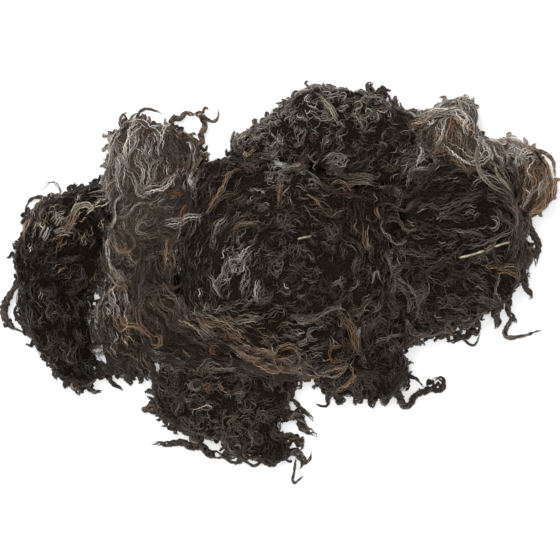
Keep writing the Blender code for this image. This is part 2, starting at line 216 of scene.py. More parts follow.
# The skin that the staples lie on bridges the clefts between clumps, and lies 0.8 mm deep
SKIN_STEPS = ((0.8, 2.5), (-1.8, 2.5), (-1.8, 2.5), (-1.8, 2.5), (1.6, 2.5), (1.5, 2.5), (0.7, 2.5))
SKIN_SMOOTHING = 6
OUTLINE_STEPS = ((1.6, 2.0),)
MOST_OUTSIDE = 0.12
HIGH_ABOVE = 150.0
heap_skin = soft_lump("heap_skin", list(MAT_COLOURS_WITH_SHADE), SKIN_STEPS, LUMP_HEIGHT, SKIN_SMOOTHING)
bare_heap = soft_lump("bare_heap", list(MAT_COLOURS_WITH_SHADE), OUTLINE_STEPS, 0.0, 0)


def unit(vectors):
    """Each vector over its own length."""
    return vectors / np.maximum(np.linalg.norm(vectors, axis=-1, keepdims=True), 1e-9)


def probe(points, target, **settings):
    """Where Blender's shrink wrap puts each point (N x 3, in millimetres) on the target."""
    mesh = bpy.data.meshes.new("probe")
    mesh.vertices.add(len(points))
    mesh.vertices.foreach_set("co", (points * MM).astype(np.float32).ravel())
    thing = bpy.data.objects.new("probe", mesh)
    bpy.context.scene.collection.objects.link(thing)
    wrap = thing.modifiers.new("wrap", "SHRINKWRAP")
    wrap.target = target
    for name, value in settings.items():
        setattr(wrap, name, value)
    bpy.context.view_layer.update()
    wrapped = thing.evaluated_get(bpy.context.evaluated_depsgraph_get()).data
    found = np.empty(3 * len(points), np.float32)
    wrapped.vertices.foreach_get("co", found)
    bpy.data.objects.remove(thing)
    bpy.data.meshes.remove(mesh)
    return found.reshape(-1, 3).astype(float) / MM


def on_skin(points):
    """The nearest place on the heap's skin to each point, and the outward direction there: the
    way from that place to the one 1 mm above it."""
    base = probe(points, heap_skin, wrap_mode="ON_SURFACE")
    above = probe(base, heap_skin, wrap_mode="ABOVE_SURFACE", offset=1.0 * MM)
    return base, unit(above - base)


def height_over(points, target):
    """The height of the target straight under each point of the plan, or 0 beside it, where the
    point stays as high above as it began."""
    high = np.column_stack([points[:, :2], np.full(len(points), HIGH_ABOVE)])
    down = probe(
        high,
        target,
        wrap_method="PROJECT",
        use_project_z=True,
        use_negative_direction=True,
        use_positive_direction=False,
    )
    return np.where(down[:, 2] > HIGH_ABOVE - 10.0, 0.0, down[:, 2])


def inside_outline(lines):
    """Which strands keep to the solids' outline in plan, grown by 1.6 mm: less than 0.12 of their
    points lie beside it."""
    under = height_over(lines.reshape(-1, 3), bare_heap).reshape(lines.shape[:2])
    return np.mean(under == 0.0, axis=1) < MOST_OUTSIDE


skin_points = np.empty(3 * len(heap_skin.data.vertices), np.float32)
heap_skin.data.vertices.foreach_get("co", skin_points)
skin_points, skin_outward = on_skin(skin_points.reshape(-1, 3).astype(float) / MM)
to_clump = [
    np.linalg.norm(probe(skin_points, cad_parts[name]) - skin_points, axis=1)
    for name in MAT_COLOURS_WITH_SHADE
]
skin_owner = np.argmin(to_clump, axis=0)


# Pale locks at the upper left
# A light taupe clump of long, loosely crimped staples in S-waves, combed down the page and
# lying over its neighbours. Dark and tan curls stand out of its far edge.

# Lines are combed in steps of 1.7 mm, and a strand of a staple, 0.31 mm in half thickness, has
# a point every 2 mm. The staples are 2.4 mm deep. A strand stands for a small bunch of fibres,
# since a single one, 0.03 mm thick, is too fine to show in the render.
LINE_STEP = 1.7
POINT_STEP = 2.0
STRAND_HALF = 0.31
STAPLE_DEPTH = 2.4
# No wool is paler than this in linear light
PALEST = 0.7
WOOL = {
    "black": "#372e28",
    "charcoal": "#42382f",
    "soft_charcoal": "#564a40",
    "grey": "#7a7066",
    "dark_umber": "#352b25",
    "umber": "#4e3f35",
    "brown": "#6e5a49",
    "russet": "#3e2d27",
    "taupe": "#82766b",
    "pale_taupe": "#a0948a",
    "sand_grey": "#8b8379",
    "silver_taupe": "#a99e94",
    "beige": "#a0937f",
    "tan": "#7e664e",
    "sunned_brown": "#8c6f57",
    "copper": "#70492f",
}


def open_skin(clump):
    """The places on a clump's part of the heap's skin that stand over 1.5 mm above the table and
    don't face far down, and the outward direction at each."""
    own = skin_owner == list(MAT_COLOURS_WITH_SHADE).index(clump)
    own &= (skin_points[:, 2] > 1.5) & (skin_outward[:, 2] > -0.4)
    return skin_points[own], skin_outward[own]


def one_a_cube(places, side, rng):
    """The numbers of the places that come first, in random order, in each cube of that side."""
    order = rng.permutation(len(places))
    cubes = np.floor(places[order] / side + rng.random(3)).astype(int)
    return order[np.unique(cubes, axis=0, return_index=True)[1]]


def comb(places, outward, heading, bends, step):
    """Lines combed over the skin from each place, half of the steps forward and half back.

    A line goes on by one step at a time. Its heading is kept along the skin, turns about the
    outward direction by that step's bend in radians, and the new point drops onto the skin.
    Returns the points and the outward directions, lines x points x 3.
    """
    half = bends.shape[1] // 2
    halves = []
    for sense, turns in ((-1.0, bends[:, :half][:, ::-1]), (1.0, bends[:, half:])):
        point, up = places, outward
        ahead = sense * np.column_stack([np.cos(heading), np.sin(heading), 0.0 * heading])
        # Wool droops, so a line starts a little downhill whichever way it runs
        ahead[:, 2] -= 0.25
        trail = [(point, up)]
        for turn in turns.T:
            ahead = unit(ahead - up * np.sum(ahead * up, axis=1)[:, None])
            turn = sense * turn[:, None]
            ahead = ahead * np.cos(turn) + np.cross(up, ahead) * np.sin(turn)
            point, up = on_skin(point + step * ahead)
            trail.append((point, up))
        halves.append([np.stack(part, axis=1) for part in zip(*trail)])
    (back, back_up), (on, on_up) = halves
    lines = np.concatenate([back[:, ::-1], on[:, 1:]], axis=1)
    return lines, np.concatenate([back_up[:, ::-1], on_up[:, 1:]], axis=1)


def lie_of(places, rows, rng):
    """How the wool lies at each place, from a clump's table of headings. A row's weight w is
    1 / (distance squared + 60). The heading is the mean of the rows' headings by w squared, and
    the rest is one near row's, picked at random with odds w to the power 1.5. The heading is
    then turned at random, by 0.8 x that row's spread."""
    numbers = np.array([row[:-1] for row in rows], float)
    apart = ((places[:, None, :2] - numbers[None, :, :2]) ** 2).sum(axis=2)
    weight = 1.0 / (apart + 60.0)
    angle = np.radians(numbers[:, 2])
    # Headings are summed as double angles, so that two opposite ones count as the same lie
    mean = (weight**2) @ np.exp(2j * angle)
    odds = np.cumsum(weight**1.5, axis=1)
    pick = (rng.random((len(places), 1)) * odds[:, -1:] > odds).sum(axis=1)
    heading = np.angle(mean) / 2.0
    # The table's own sense is kept, so that waves run one way
    heading += np.where(np.cos(heading - angle[pick]) < 0.0, math.pi, 0.0)
    heading += np.radians(numbers[pick, 3]) * rng.normal(size=len(places)) * 0.8
    wool = np.array([linear(WOOL[row[-1]]) for row in rows])[pick]
    return heading, numbers[pick], wool


# The crimp swings 0.55 mm to either side and repeats every 8.5 mm of the staple, which also
# bows up by as much as 3 mm
CRIMP = 0.55
CRIMP_LENGTH = 8.5
STAPLE_LIFT = 3.0


def gathered(lines, outward, count, width, height, half, points, felted, rng):
    """Strands gathered into staples: staples x count strands, each of the given points.

    At share t of its staple, a strand lies beside the staple's line by half the width x r x
    cos(a), and above it by half the height x (1 + r x sin(a)), where r is its own place in the
    staple and a turns slowly with t. Both draw in towards the ends, where the root dives into
    the mat. A crimp, a sine wave sideways, is shared by the whole staple, and so is a small kink
    that goes left and right in turn from each point to the next. The line bows up as sin(pi t).
    """
    staples, stations = lines.shape[:2]
    shape = (staples, count, 1)
    begin = rng.uniform(0.0, 0.2, shape)
    end = rng.uniform(0.75, 1.0, shape)
    share = begin + (end - begin) * np.linspace(0.0, 1.0, points)
    spot = share * (stations - 1)
    low = np.minimum(spot.astype(int), stations - 2)
    part = (spot - low)[..., None]
    row = np.arange(staples)[:, None, None]
    centre = lines[row, low] * (1.0 - part) + lines[row, low + 1] * part
    up = unit(outward[row, low] * (1.0 - part) + outward[row, low + 1] * part)
    along = unit(np.gradient(lines, axis=1))
    ahead = unit(along[row, low] * (1.0 - part) + along[row, low + 1] * part)
    side = unit(np.cross(up, ahead))
    draw_in = 0.3 + 0.7 * np.sin(math.pi * share) ** 0.7
    r = np.sqrt(rng.random(shape))
    a = rng.uniform(0, 2 * math.pi, shape) + share * rng.uniform(-2.5, 2.5, shape)
    across = 0.5 * width * r * np.cos(a) * draw_in
    wander = rng.uniform(0.3, 1.2, shape) * np.sin(share * rng.uniform(6, 16, shape) + 7.0 * r)
    wander *= 1.0 + 1.2 * felted
    crimp_turns = rng.uniform(0.9, 1.2, (staples, 1, 1)) * stations * LINE_STEP / CRIMP_LENGTH
    crimp_start = rng.uniform(0, 2 * math.pi, (staples, 1, 1)) + rng.normal(0, 0.6, shape)
    across += wander + CRIMP * np.sin(2 * math.pi * crimp_turns * share + crimp_start)
    above = 0.5 * height * (1.0 + r * np.sin(a)) * draw_in
    above += rng.uniform(0.0, STAPLE_LIFT, (staples, 1, 1)) * np.sin(math.pi * share)
    above -= 2.2 * np.clip(1.0 - share / 0.12, 0.0, 1.0) ** 2
    tip = np.clip((share - 0.8) / 0.2, 0.0, 1.0) ** 2
    above += rng.uniform(-2.0, 2.0, shape) * tip
    beside, up = on_skin((centre + side * across[..., None]).reshape(-1, 3))
    paths = (beside + up * above.reshape(-1, 1)).reshape(centre.shape)
    for _ in range(2):
        paths[:, :, 1:-1] = 0.25 * paths[:, :, :-2] + 0.5 * paths[:, :, 1:-1] + 0.25 * paths[:, :, 2:]
    run = np.linspace(0.0, 1.0, points)
    ends = np.minimum(1.0, np.minimum(run / 0.1, (1 - run) / 0.3))
    kink = rng.uniform(0.2, 0.5, (staples, 1, 1)) * ends * (-1.0) ** np.arange(points)
    paths += side * kink[..., None]
    thick = half * rng.uniform(0.6, 1.25, shape) * ends
    thick = np.maximum(np.broadcast_to(thick, share.shape), 0.12)
    paths[..., 2] = np.maximum(paths[..., 2], thick + 0.2)
    return paths.reshape(-1, points, 3), thick.reshape(-1, points), above.reshape(-1, points)


def greyed(colour, chosen, share):
    """The chosen colours drawn towards their own grey, the mean of their channels, by a share."""
    grey = colour.mean(axis=-1, keepdims=True)
    return np.where(chosen[..., None], share * grey + (1.0 - share) * colour, colour)


def tinted(wool, count, points, rng):
    """A colour for each point of each strand: the staple's own, times a spread between staples,
    times a wider one between strands, darker at the root and paler at the tip. One strand in
    nine is 1.4 to 2.6 times as light and more than half way to grey: partly sun-bleached wool,
    partly a painted highlight for the sheen of the fibres."""
    staples = len(wool)
    tone = np.exp(rng.normal(0.0, 0.18, (staples, 1, 1)) + rng.normal(0.0, 0.45, (staples, count, 1)))
    # Pale, greyed strands: partly sun-bleached wool, partly a painted highlight for the fibres' sheen
    bleach_and_sheen = rng.random((staples, count, 1)) < 0.11
    tone = np.where(bleach_and_sheen, tone * rng.uniform(1.4, 2.6, tone.shape), tone)
    run = np.linspace(0.0, 1.0, points)
    tone = tone * (0.7 + 0.45 * run)
    colour = greyed(wool[:, None, None, :] * tone[..., None], bleach_and_sheen, 0.55)
    return np.minimum(colour, PALEST).reshape(-1, points, 3)


def painted_depth_shade(above):
    """Painted shade: wool deeper in the fleece is painted darker, as the shade that falls among the
    strands, and wool on top lighter: 0.45 at the skin, and 0.22 more for each millimetre above it,
    within 0.3 to 1.6."""
    return np.clip(0.45 + 0.22 * above, 0.3, 1.6)[..., None]


# The wool winds a little wider than the solid ringlets do, since its strands lie open
CURL_SWING = 1.35


def ringlet_path(
    root_x, root_y, middle_x, middle_y, tip_x, tip_y, curl, turns, thickness, ring_radius=0, ring_degrees=0
):
    """Points along a ringlet and its half thickness at each, in millimetres.

    The lock's own line is the curve (1 - s) squared x root + 2 s (1 - s) x pull + s squared x
    tip. The wool winds round it as a helix that tightens towards the tip and rests on the
    table, and the ring at the tip goes on from there as a flat arc. The thickness falls by 0.6
    of itself x the share of the lock to the power 4, so that the tip is blunt.
    """
    count = max(14, round(turns * 10) + 1)
    ring_count = round(abs(ring_degrees) / 18.0)
    whole = np.linspace(0.0, 1.0, count + ring_count)
    half = thickness * (1.0 - 0.6 * whole**4)
    share = np.linspace(0.0, 1.0, count)
    root, tip = np.array([root_x, root_y], float), np.array([tip_x, tip_y], float)
    pull = 2.0 * np.array([middle_x, middle_y], float) - (root + tip) / 2.0
    line = np.outer((1.0 - share) ** 2, root) + np.outer(2.0 * share * (1.0 - share), pull)
    line += np.outer(share**2, tip)
    heading = unit(np.outer(1.0 - share, pull - root) + np.outer(share, tip - pull))
    left = np.column_stack([-heading[:, 1], heading[:, 0]])
    radius = CURL_SWING * curl * (1.0 - 0.45 * share)
    angle = 2.0 * math.pi * turns * share
    flat = line + left * (radius * np.sin(angle))[:, None]
    lift = max(1.4 * thickness - abs(curl), 0.0)
    height = np.abs(radius) + half[:count] + 0.15 + np.clip(1.0 - share / 0.3, 0.0, 1.0) ** 2 * lift
    height -= radius * np.cos(angle)
    if ring_count:
        bow = math.copysign(1.0, ring_degrees)
        centre = flat[-1] + left[-1] * bow * ring_radius
        start = math.atan2(heading[-1, 1], heading[-1, 0]) - bow * math.pi / 2.0
        swing = start + np.radians(ring_degrees) * np.arange(1, ring_count + 1) / ring_count
        arc = centre + ring_radius * np.column_stack([np.cos(swing), np.sin(swing)])
        flat = np.vstack([flat, arc])
        height = np.append(height, np.full(ring_count, height[-1]))
    return np.column_stack([flat, height]), half


def twisted(path, half, strand_count, rng):
    """A lock as strands that wind round its line, some one way and some the other, one turn in
    10 to 16 mm: strand k lies at r x the half thickness from the line, at the angle a + 2 pi x
    run / pitch, and ends at its own share of the lock."""
    points = len(path)
    ahead = unit(np.gradient(path, axis=0))
    side = unit(np.cross(ahead, (0.07, 0.11, 1.0)))
    above = np.cross(side, ahead)
    run = np.concatenate([[0.0], np.cumsum(np.linalg.norm(np.diff(path, axis=0), axis=1))])
    sense = np.where(rng.random((strand_count, 1)) < 0.3, -1.0, 1.0)
    angle = 2 * math.pi * np.arange(strand_count)[:, None] / strand_count
    angle = angle + sense * run * 2 * math.pi / rng.uniform(10.0, 16.0, (strand_count, 1))
    out = half * rng.uniform(0.45, 0.8, (strand_count, 1))
    paths = path + (out * np.cos(angle))[..., None] * side + (out * np.sin(angle))[..., None] * above
    reach = rng.uniform(0.8, 1.0, (strand_count, 1))
    spot = reach * (points - 1) * np.linspace(0.0, 1.0, points)
    low = np.minimum(spot.astype(int), points - 2)
    part = (spot - low)[..., None]
    row = np.arange(strand_count)[:, None]
    paths = paths[row, low] * (1.0 - part) + paths[row, low + 1] * part
    width = np.clip(1.05 * half / math.sqrt(strand_count), 0.2, 1.3)
    taper = np.minimum(1.0, (1.05 - np.linspace(0.0, 1.0, points)) / 0.2)
    thick = width * taper * rng.uniform(0.7, 1.15, (strand_count, 1))
    paths[..., 2] = np.maximum(paths[..., 2], thick + 0.12)
    return paths, thick


def wool_locks(name, bundles, material):
    """One mesh of every strand in the bundles, each bundle as lines, half thickness and colours.

    Each strand is a closed three-sided tube: at every inner point of its line stand three
    corners, half its thickness away at 0, 120 and 240 degrees round it, and a single corner
    closes it at either end. Strips of triangles join each ring of corners to the next.
    """
    corners, faces, tints = [], [], []
    start = 0
    for lines, half, colours in bundles:
        count, points = lines.shape[:2]
        ahead = unit(np.gradient(lines, axis=1))
        side = unit(np.cross(ahead, (0.07, 0.11, 1.0)))
        above = np.cross(side, ahead)
        angle = 2 * math.pi * np.arange(3) / 3 + 0.5 * math.pi
        out = np.cos(angle)[:, None] * side[:, 1:-1, None] + np.sin(angle)[:, None] * above[:, 1:-1, None]
        rings = lines[:, 1:-1, None] + out * half[:, 1:-1, None, None]
        rings = rings.reshape(count, -1, 3)
        corners.append(np.concatenate([rings, lines[:, :1], lines[:, -1:]], axis=1).reshape(-1, 3))
        ring_tints = np.repeat(colours[:, 1:-1], 3, axis=1)
        tints.append(np.concatenate([ring_tints, colours[:, :1], colours[:, -1:]], axis=1).reshape(-1, 3))
        here = np.arange(3 * (points - 3)).reshape(-1, 3)
        turned = np.roll(here, -1, axis=1)
        strip = np.stack([here, here + 3, turned + 3, here, turned + 3, turned], axis=-1).reshape(-1, 3)
        last = 3 * (points - 3)
        first_end, last_end = 3 * (points - 2), 3 * (points - 2) + 1
        ends = [(first_end, k, (k + 1) % 3) for k in range(3)]
        ends += [(last_end, last + (k + 1) % 3, last + k) for k in range(3)]
        one = np.concatenate([strip, np.array(ends)])
        own = start + (last_end + 1) * np.arange(count)[:, None, None]
        faces.append((own + one).reshape(-1, 3))
        start += count * (last_end + 1)
    corners, faces, tints = map(np.concatenate, (corners, faces, tints))
    mesh = bpy.data.meshes.new(name)
    mesh.vertices.add(len(corners))
    mesh.vertices.foreach_set("co", (corners * MM).astype(np.float32).ravel())
    mesh.loops.add(faces.size)
    mesh.loops.foreach_set("vertex_index", faces.astype(np.int32).ravel())
    mesh.polygons.add(len(faces))
    mesh.polygons.foreach_set("loop_start", np.arange(0, faces.size, 3, dtype=np.int32))
    mesh.update(calc_edges=True)
    mesh.shade_smooth()
    paint = mesh.color_attributes.new("wool_colour", "FLOAT_COLOR", "POINT")
    tints = np.column_stack([tints, np.ones(len(tints))])
    paint.data.foreach_set("color", tints.astype(np.float32).ravel())
    mesh.materials.append(material)
    thing = bpy.data.objects.new(name, mesh)
    bpy.context.scene.collection.objects.link(thing)
    return thing


def raw_wool():
    """Raw, greasy wool in staples of fine crimped fibre. It gives the eye a soft, broken sheen
    along each strand over a colour that changes from strand to strand."""
    material = bpy.data.materials.new("raw_crimped_wool")
    material.use_nodes = True
    tree = material.node_tree
    shader = tree.nodes["Principled BSDF"]
    shader.inputs["Roughness"].default_value = 0.5
    shader.inputs["IOR"].default_value = 1.55
    shader.inputs["Specular IOR Level"].default_value = 0.2
    paint = add_node(tree, "ShaderNodeAttribute", settings={"attribute_name": "wool_colour"})
    place = add_node(tree, "ShaderNodeTexCoord")
    # Grease and dust change the wool's tone over about 2 mm
    dust = add_node(
        tree,
        "ShaderNodeTexNoise",
        values={"Scale": 480.0, "Detail": 2.0},
        links=[("Vector", place, "Object")],
    )
    tone = add_node(
        tree,
        "ShaderNodeMapRange",
        values={"From Min": 0.3, "From Max": 0.7, "To Min": 0.7, "To Max": 1.3},
        links=[("Value", dust, "Fac")],
    )
    colour = add_node(
        tree,
        "ShaderNodeVectorMath",
        settings={"operation": "SCALE"},
        links=[("Vector", paint, "Color"), ("Scale", tone, "Result")],
    )
    tree.links.new(colour.outputs["Vector"], shader.inputs["Base Color"])
    return material


# A felted curl runs six steps of 1.8 mm
FELT_STEPS = 6
FELT_STEP = 1.8


def felt_strands(places, outward, count, rows, rng):
    """Short curls of three strands that felt the surface between the staples. Each is combed
    over the skin as a staple's line is, with its own arc, small random turns, and a kink to the
    left and the right in turn. It lies up to 3 mm proud of the skin, and has its root tucked
    under and its tip turned up or down."""
    start = rng.integers(len(places), size=count)
    heading, row, colour = lie_of(places[start], rows, rng)
    felted = np.clip((row[:, 3:4] - 12.0) / 30.0, 0.15, 1.0)
    arc = rng.uniform(-1.0, 1.0, (count, 1)) * (0.08 + 0.6 * felted)
    bends = arc + rng.normal(0.0, 0.2, (count, FELT_STEPS)) * (0.4 + felted)
    # A kink of 25 to 75 degrees, left and right in turn, is the crimp of the fibre
    kink = rng.uniform(0.45, 1.3, count) * rng.choice((-1.0, 1.0), count)
    bends += kink[:, None] * (-1.0) ** np.arange(FELT_STEPS)
    heading = heading + 0.5 * kink
    proud = rng.uniform(0.2, 2.6, (count, 1))
    tone = np.exp(rng.normal(0.0, 0.2, (count, 1)))
    start, heading, bends = (np.repeat(part, 3, axis=0) for part in (start, heading, bends))
    colour, proud, tone = (np.repeat(part, 3, axis=0) for part in (colour, proud, tone))
    count = 3 * count
    slide = rng.normal(0.0, 1.5, (count, 3))
    point, up = on_skin(places[start] + slide)
    bends += rng.normal(0.0, 0.07, bends.shape)
    lines, ups = comb(point, up, heading + rng.normal(0.0, 0.12, count), bends, FELT_STEP)
    share = np.linspace(0.0, 1.0, lines.shape[1])
    above = (proud + rng.uniform(-0.3, 0.6, (count, 1))) * np.sin(math.pi * share) ** 0.5
    above = above - 1.4 * np.clip(1.0 - share / 0.2, 0.0, 1.0)
    above += rng.uniform(-1.2, 1.6, (count, 1)) * np.clip((share - 0.6) / 0.4, 0.0, 1.0) ** 2
    thick = rng.uniform(0.18, 0.33, (count, 1)) * np.minimum(1.0, (1.15 - share) / 0.35)
    lines = lines + ups * above[..., None]
    lines[..., 2] = np.maximum(lines[..., 2], thick + 0.15)
    tone = tone * np.exp(rng.normal(-0.05, 0.5, (count, 1))) * (0.75 + 0.4 * share)
    # One strand in eight is painted 2.2 times as light and greyed: partly bleached wool, partly a painted
    # highlight for the fibres' sheen
    bleach_and_sheen = rng.random((count, 1)) < 0.12
    tone = np.where(bleach_and_sheen, tone * 2.2, tone)
    # The colour is painted darker the deeper the strand lies, as painted shade
    colour = greyed(colour[:, None, :] * tone[..., None] * painted_depth_shade(above), bleach_and_sheen, 0.6)
    return lines, thick, np.minimum(colour, PALEST)


# A rim curl has 12 points on each of its four strands
RIM_POINTS = 12
RIM_STRANDS = 4


def rim_curls(places, outward, side, rows, rng):
    """Small ringlets of four strands that stand out of the rim over the bare table. Each leaves
    the rim outward along a plan arc, winds round it as a helix, and sinks to the table as
    (1 - share) squared."""
    # The rim is where the skin stands steep and low, with bare table 8 mm further out
    rim = (outward[:, 2] < 0.6) & (places[:, 2] < 17.0)
    flat = unit(outward * (1.0, 1.0, 0.0))
    rim &= height_over(places + 8.0 * flat, heap_skin) < 1.0
    places, flat = places[rim], flat[rim]
    chosen = one_a_cube(places, side, rng)
    places, flat = places[chosen], flat[chosen]
    count = len(places)
    _, _, colour = lie_of(places, rows, rng)
    share = np.linspace(0.0, 1.0, RIM_POINTS)
    length = rng.uniform(5.0, 13.0, (count, 1))
    sweep = rng.uniform(-4.0, 4.0, (count, 1))
    first = np.arctan2(flat[:, 1:2], flat[:, :1]) + rng.normal(0.0, 0.6, (count, 1))
    angle = first - 0.3 * sweep + sweep * share**1.4
    stride = length / (RIM_POINTS - 1)
    plan = np.cumsum(np.stack([np.cos(angle), np.sin(angle)], axis=-1) * stride[..., None], axis=1)
    radius = rng.uniform(1.2, 2.7, (count, 1)) * (1.0 - 0.2 * share)
    wind = rng.uniform(0, 2 * math.pi, (count, 1)) + length * rng.uniform(0.8, 1.3, (count, 1)) * share
    beside = np.stack([-np.sin(angle), np.cos(angle)], axis=-1) * (radius * np.sin(wind))[..., None]
    lines = np.empty((count, RIM_POINTS, 3))
    lines[..., :2] = (places[:, :2] - 3.0 * flat[:, :2])[:, None] + plan + beside
    lines[..., 2] = 0.6 + radius * (1.0 - np.cos(wind)) + places[:, 2:3] * (1.0 - share) ** 2
    strands = [lines + rng.normal(0.0, 0.55, (count, 1, 3)) for _ in range(RIM_STRANDS)]
    lines = np.concatenate(strands)
    thick = rng.uniform(0.5, 0.95, (len(lines), 1)) * np.minimum(1.0, (1.15 - share) / 0.3)
    lines[..., 2] = np.maximum(lines[..., 2], thick + 0.15)
    colour = np.tile(colour, (RIM_STRANDS, 1))
    tone = np.exp(rng.normal(0.0, 0.3, (len(lines), 1))) * (0.6 + 0.25 * share)
    return lines, thick, np.minimum(colour[:, None, :] * tone[..., None], PALEST)


# The locks on top lie 3.6 mm over the skin, just above the staples
LAID_PROUD = 3.6


def laid_lock(wool_name, half, strand_count, corners, rng):
    """A single lock that shows on top of the fleece, as loose fibres side by side. Its corners in
    plan are joined by straight runs, rounded by a running mean, and raised onto the skin. Each
    fibre lies within 1.9 half widths of that line, waves a little, and runs over its own part
    of it, and a wider lock has thicker fibres. A lock of one strand is a bit of straw as thick
    as its half width."""
    corners = np.array(corners, float)
    run = np.concatenate([[0.0], np.cumsum(np.linalg.norm(np.diff(corners, axis=0), axis=1))])
    points = max(10, round(run[-1] / 1.9))
    window = max(3, round(points / len(corners)) | 1)
    fine = np.linspace(0.0, run[-1], points)
    plan = np.column_stack([np.interp(fine, run, corners[:, axis]) for axis in range(2)])
    padded = np.pad(plan, ((window // 2, window // 2), (0, 0)), "reflect", reflect_type="odd")
    mean = np.ones(window) / window
    plan = np.column_stack([np.convolve(padded[:, axis], mean, "valid") for axis in range(2)])
    height = height_over(plan, heap_skin)
    padded = np.pad(height, 2, "edge")
    height = np.convolve(padded, np.ones(5) / 5.0, "valid") + LAID_PROUD + half
    share = np.linspace(0.0, 1.0, points)
    height -= (LAID_PROUD + 2.0) * np.clip(1.0 - share / 0.12, 0.0, 1.0) ** 2
    if strand_count == 1:
        path = np.column_stack([plan, height])[None]
        ends = np.minimum(1.0, np.minimum(share, 1.0 - share) / 0.15 + 0.4)
        thick = half * ends * rng.uniform(0.75, 1.1, (1, points))
        colour = np.broadcast_to(linear(WOOL[wool_name]), (1, points, 3))
        return path, thick, colour * rng.uniform(0.7, 1.2, (1, points, 1))
    ahead = unit(np.gradient(plan, axis=0))
    side = np.column_stack([-ahead[:, 1], ahead[:, 0]])
    first = rng.uniform(0.0, 0.25, (strand_count, 1))
    last = rng.uniform(0.75, 1.0, (strand_count, 1))
    spot = (first + (last - first) * share) * (points - 1)
    low = np.minimum(spot.astype(int), points - 2)
    part = (spot - low)[..., None]
    wave = rng.uniform(0, 2 * math.pi, (strand_count, 1)) + fine * rng.uniform(0.3, 0.7, (strand_count, 1))
    beside = 1.9 * half * rng.uniform(-1.0, 1.0, (strand_count, 1)) + 0.45 * np.sin(wave)
    line = np.column_stack([plan, height])
    across = np.column_stack([side, 0.0 * height])
    paths = line[low] * (1.0 - part) + line[low + 1] * part
    paths += (across[low] * (1.0 - part) + across[low + 1] * part) * beside[..., None]
    paths[..., 2] += rng.uniform(-0.7, 0.5, (strand_count, 1))
    thick = rng.uniform(0.16, 0.3, (strand_count, 1)) * (0.7 + 0.45 * half)
    thick = thick * np.minimum(1.0, (1.1 - share) / 0.35)
    paths[..., 2] = np.maximum(paths[..., 2], thick + 0.15)
    base = linear(WOOL[wool_name])
    return paths, thick, np.minimum(0.9 * tinted(base[None], strand_count, points, rng), 1.4 * base)


def ring(centre_x, centre_y, radius, start, sweep):
    """Corners of an arc in plan, one every 30 degrees."""
    angle = np.radians(start + np.linspace(0.0, sweep, max(3, round(abs(sweep) / 30.0))))
    return [(centre_x + radius * math.cos(a), centre_y + radius * math.sin(a)) for a in angle]


wool = raw_wool()


def clump_of_locks(
    clump, seed, felt, spacing, strands, length, width, rim, rows, ringlets, ringlet_wool, laid=()
):
    """The outer wool of one clump, in one mesh: felted strands, staples combed as the table says,
    curls at the rim, ringlets, and the locks laid on top.

    Columns of rows: x, y, heading, spread, wave in degrees, wave length, curl in degrees a
    millimetre, wool. Columns of ringlets: x and y of the root, the middle and the tip, curl,
    turns, thickness, and the radius and degrees of the ring at the tip, where there is one.
    Columns of laid: wool, half thickness, strands, corners.
    """
    rng = np.random.default_rng(seed)
    places, outward = open_skin(clump)
    felted_curls = felt_strands(places, outward, round(felt * len(places) / 3), rows, rng)
    kept = inside_outline(felted_curls[0])
    bundles = [tuple(part[kept] for part in felted_curls)]
    chosen = one_a_cube(places, spacing, rng)
    staple_places, staple_outward = places[chosen], outward[chosen]
    heading, row, colour = lie_of(staple_places, rows, rng)
    count = len(chosen)
    steps = 2 * round(length / LINE_STEP / 2)
    run = (np.arange(steps) + 0.5) * LINE_STEP
    wave = np.radians(row[:, 4:5]) * 2 * math.pi / row[:, 5:6] * LINE_STEP
    phase = rng.uniform(0, 2 * math.pi, (count, 1))
    bends = wave * np.cos(2 * math.pi * run / row[:, 5:6] + phase)
    curl_sense = np.where(rng.random((count, 1)) < 0.5, -1.0, 1.0)
    curl = np.radians(row[:, 6:7]) * LINE_STEP * rng.uniform(0.4, 1.3, (count, 1))
    bends += curl * curl_sense
    lines, ups = comb(staple_places, staple_outward, heading, bends, LINE_STEP)
    points = round(length / POINT_STEP)
    felted = np.clip((row[:, 3] - 20.0) / 30.0, 0.0, 1.0)[:, None, None]
    spread_width = width * (1.0 + 0.6 * felted)
    paths, thick, above = gathered(
        lines, ups, strands, spread_width, STAPLE_DEPTH, STRAND_HALF, points, felted, rng
    )
    kept = inside_outline(paths)
    # The staples' colour is painted darker the deeper they lie, as painted shade
    tints = tinted(colour, strands, points, rng) * painted_depth_shade(above)
    bundles.append((paths[kept], thick[kept], tints[kept]))
    bundles.append(rim_curls(places, outward, rim, rows, rng))
    for ringlet_row in ringlets:
        path, half = ringlet_path(*ringlet_row)
        strand_count = 3 + round(1.6 * ringlet_row[8])
        paths, thick = twisted(path, half, strand_count, rng)
        own = linear(WOOL[ringlet_wool])[None] * np.exp(rng.normal(0, 0.12))
        bundles.append((paths, thick, tinted(own, strand_count, len(path), rng)))
    for laid_row in laid:
        bundles.append(laid_lock(*laid_row, rng))
    locks = wool_locks(clump + "_locks", bundles, wool)
    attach(locks, "root")
    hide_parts(clump)


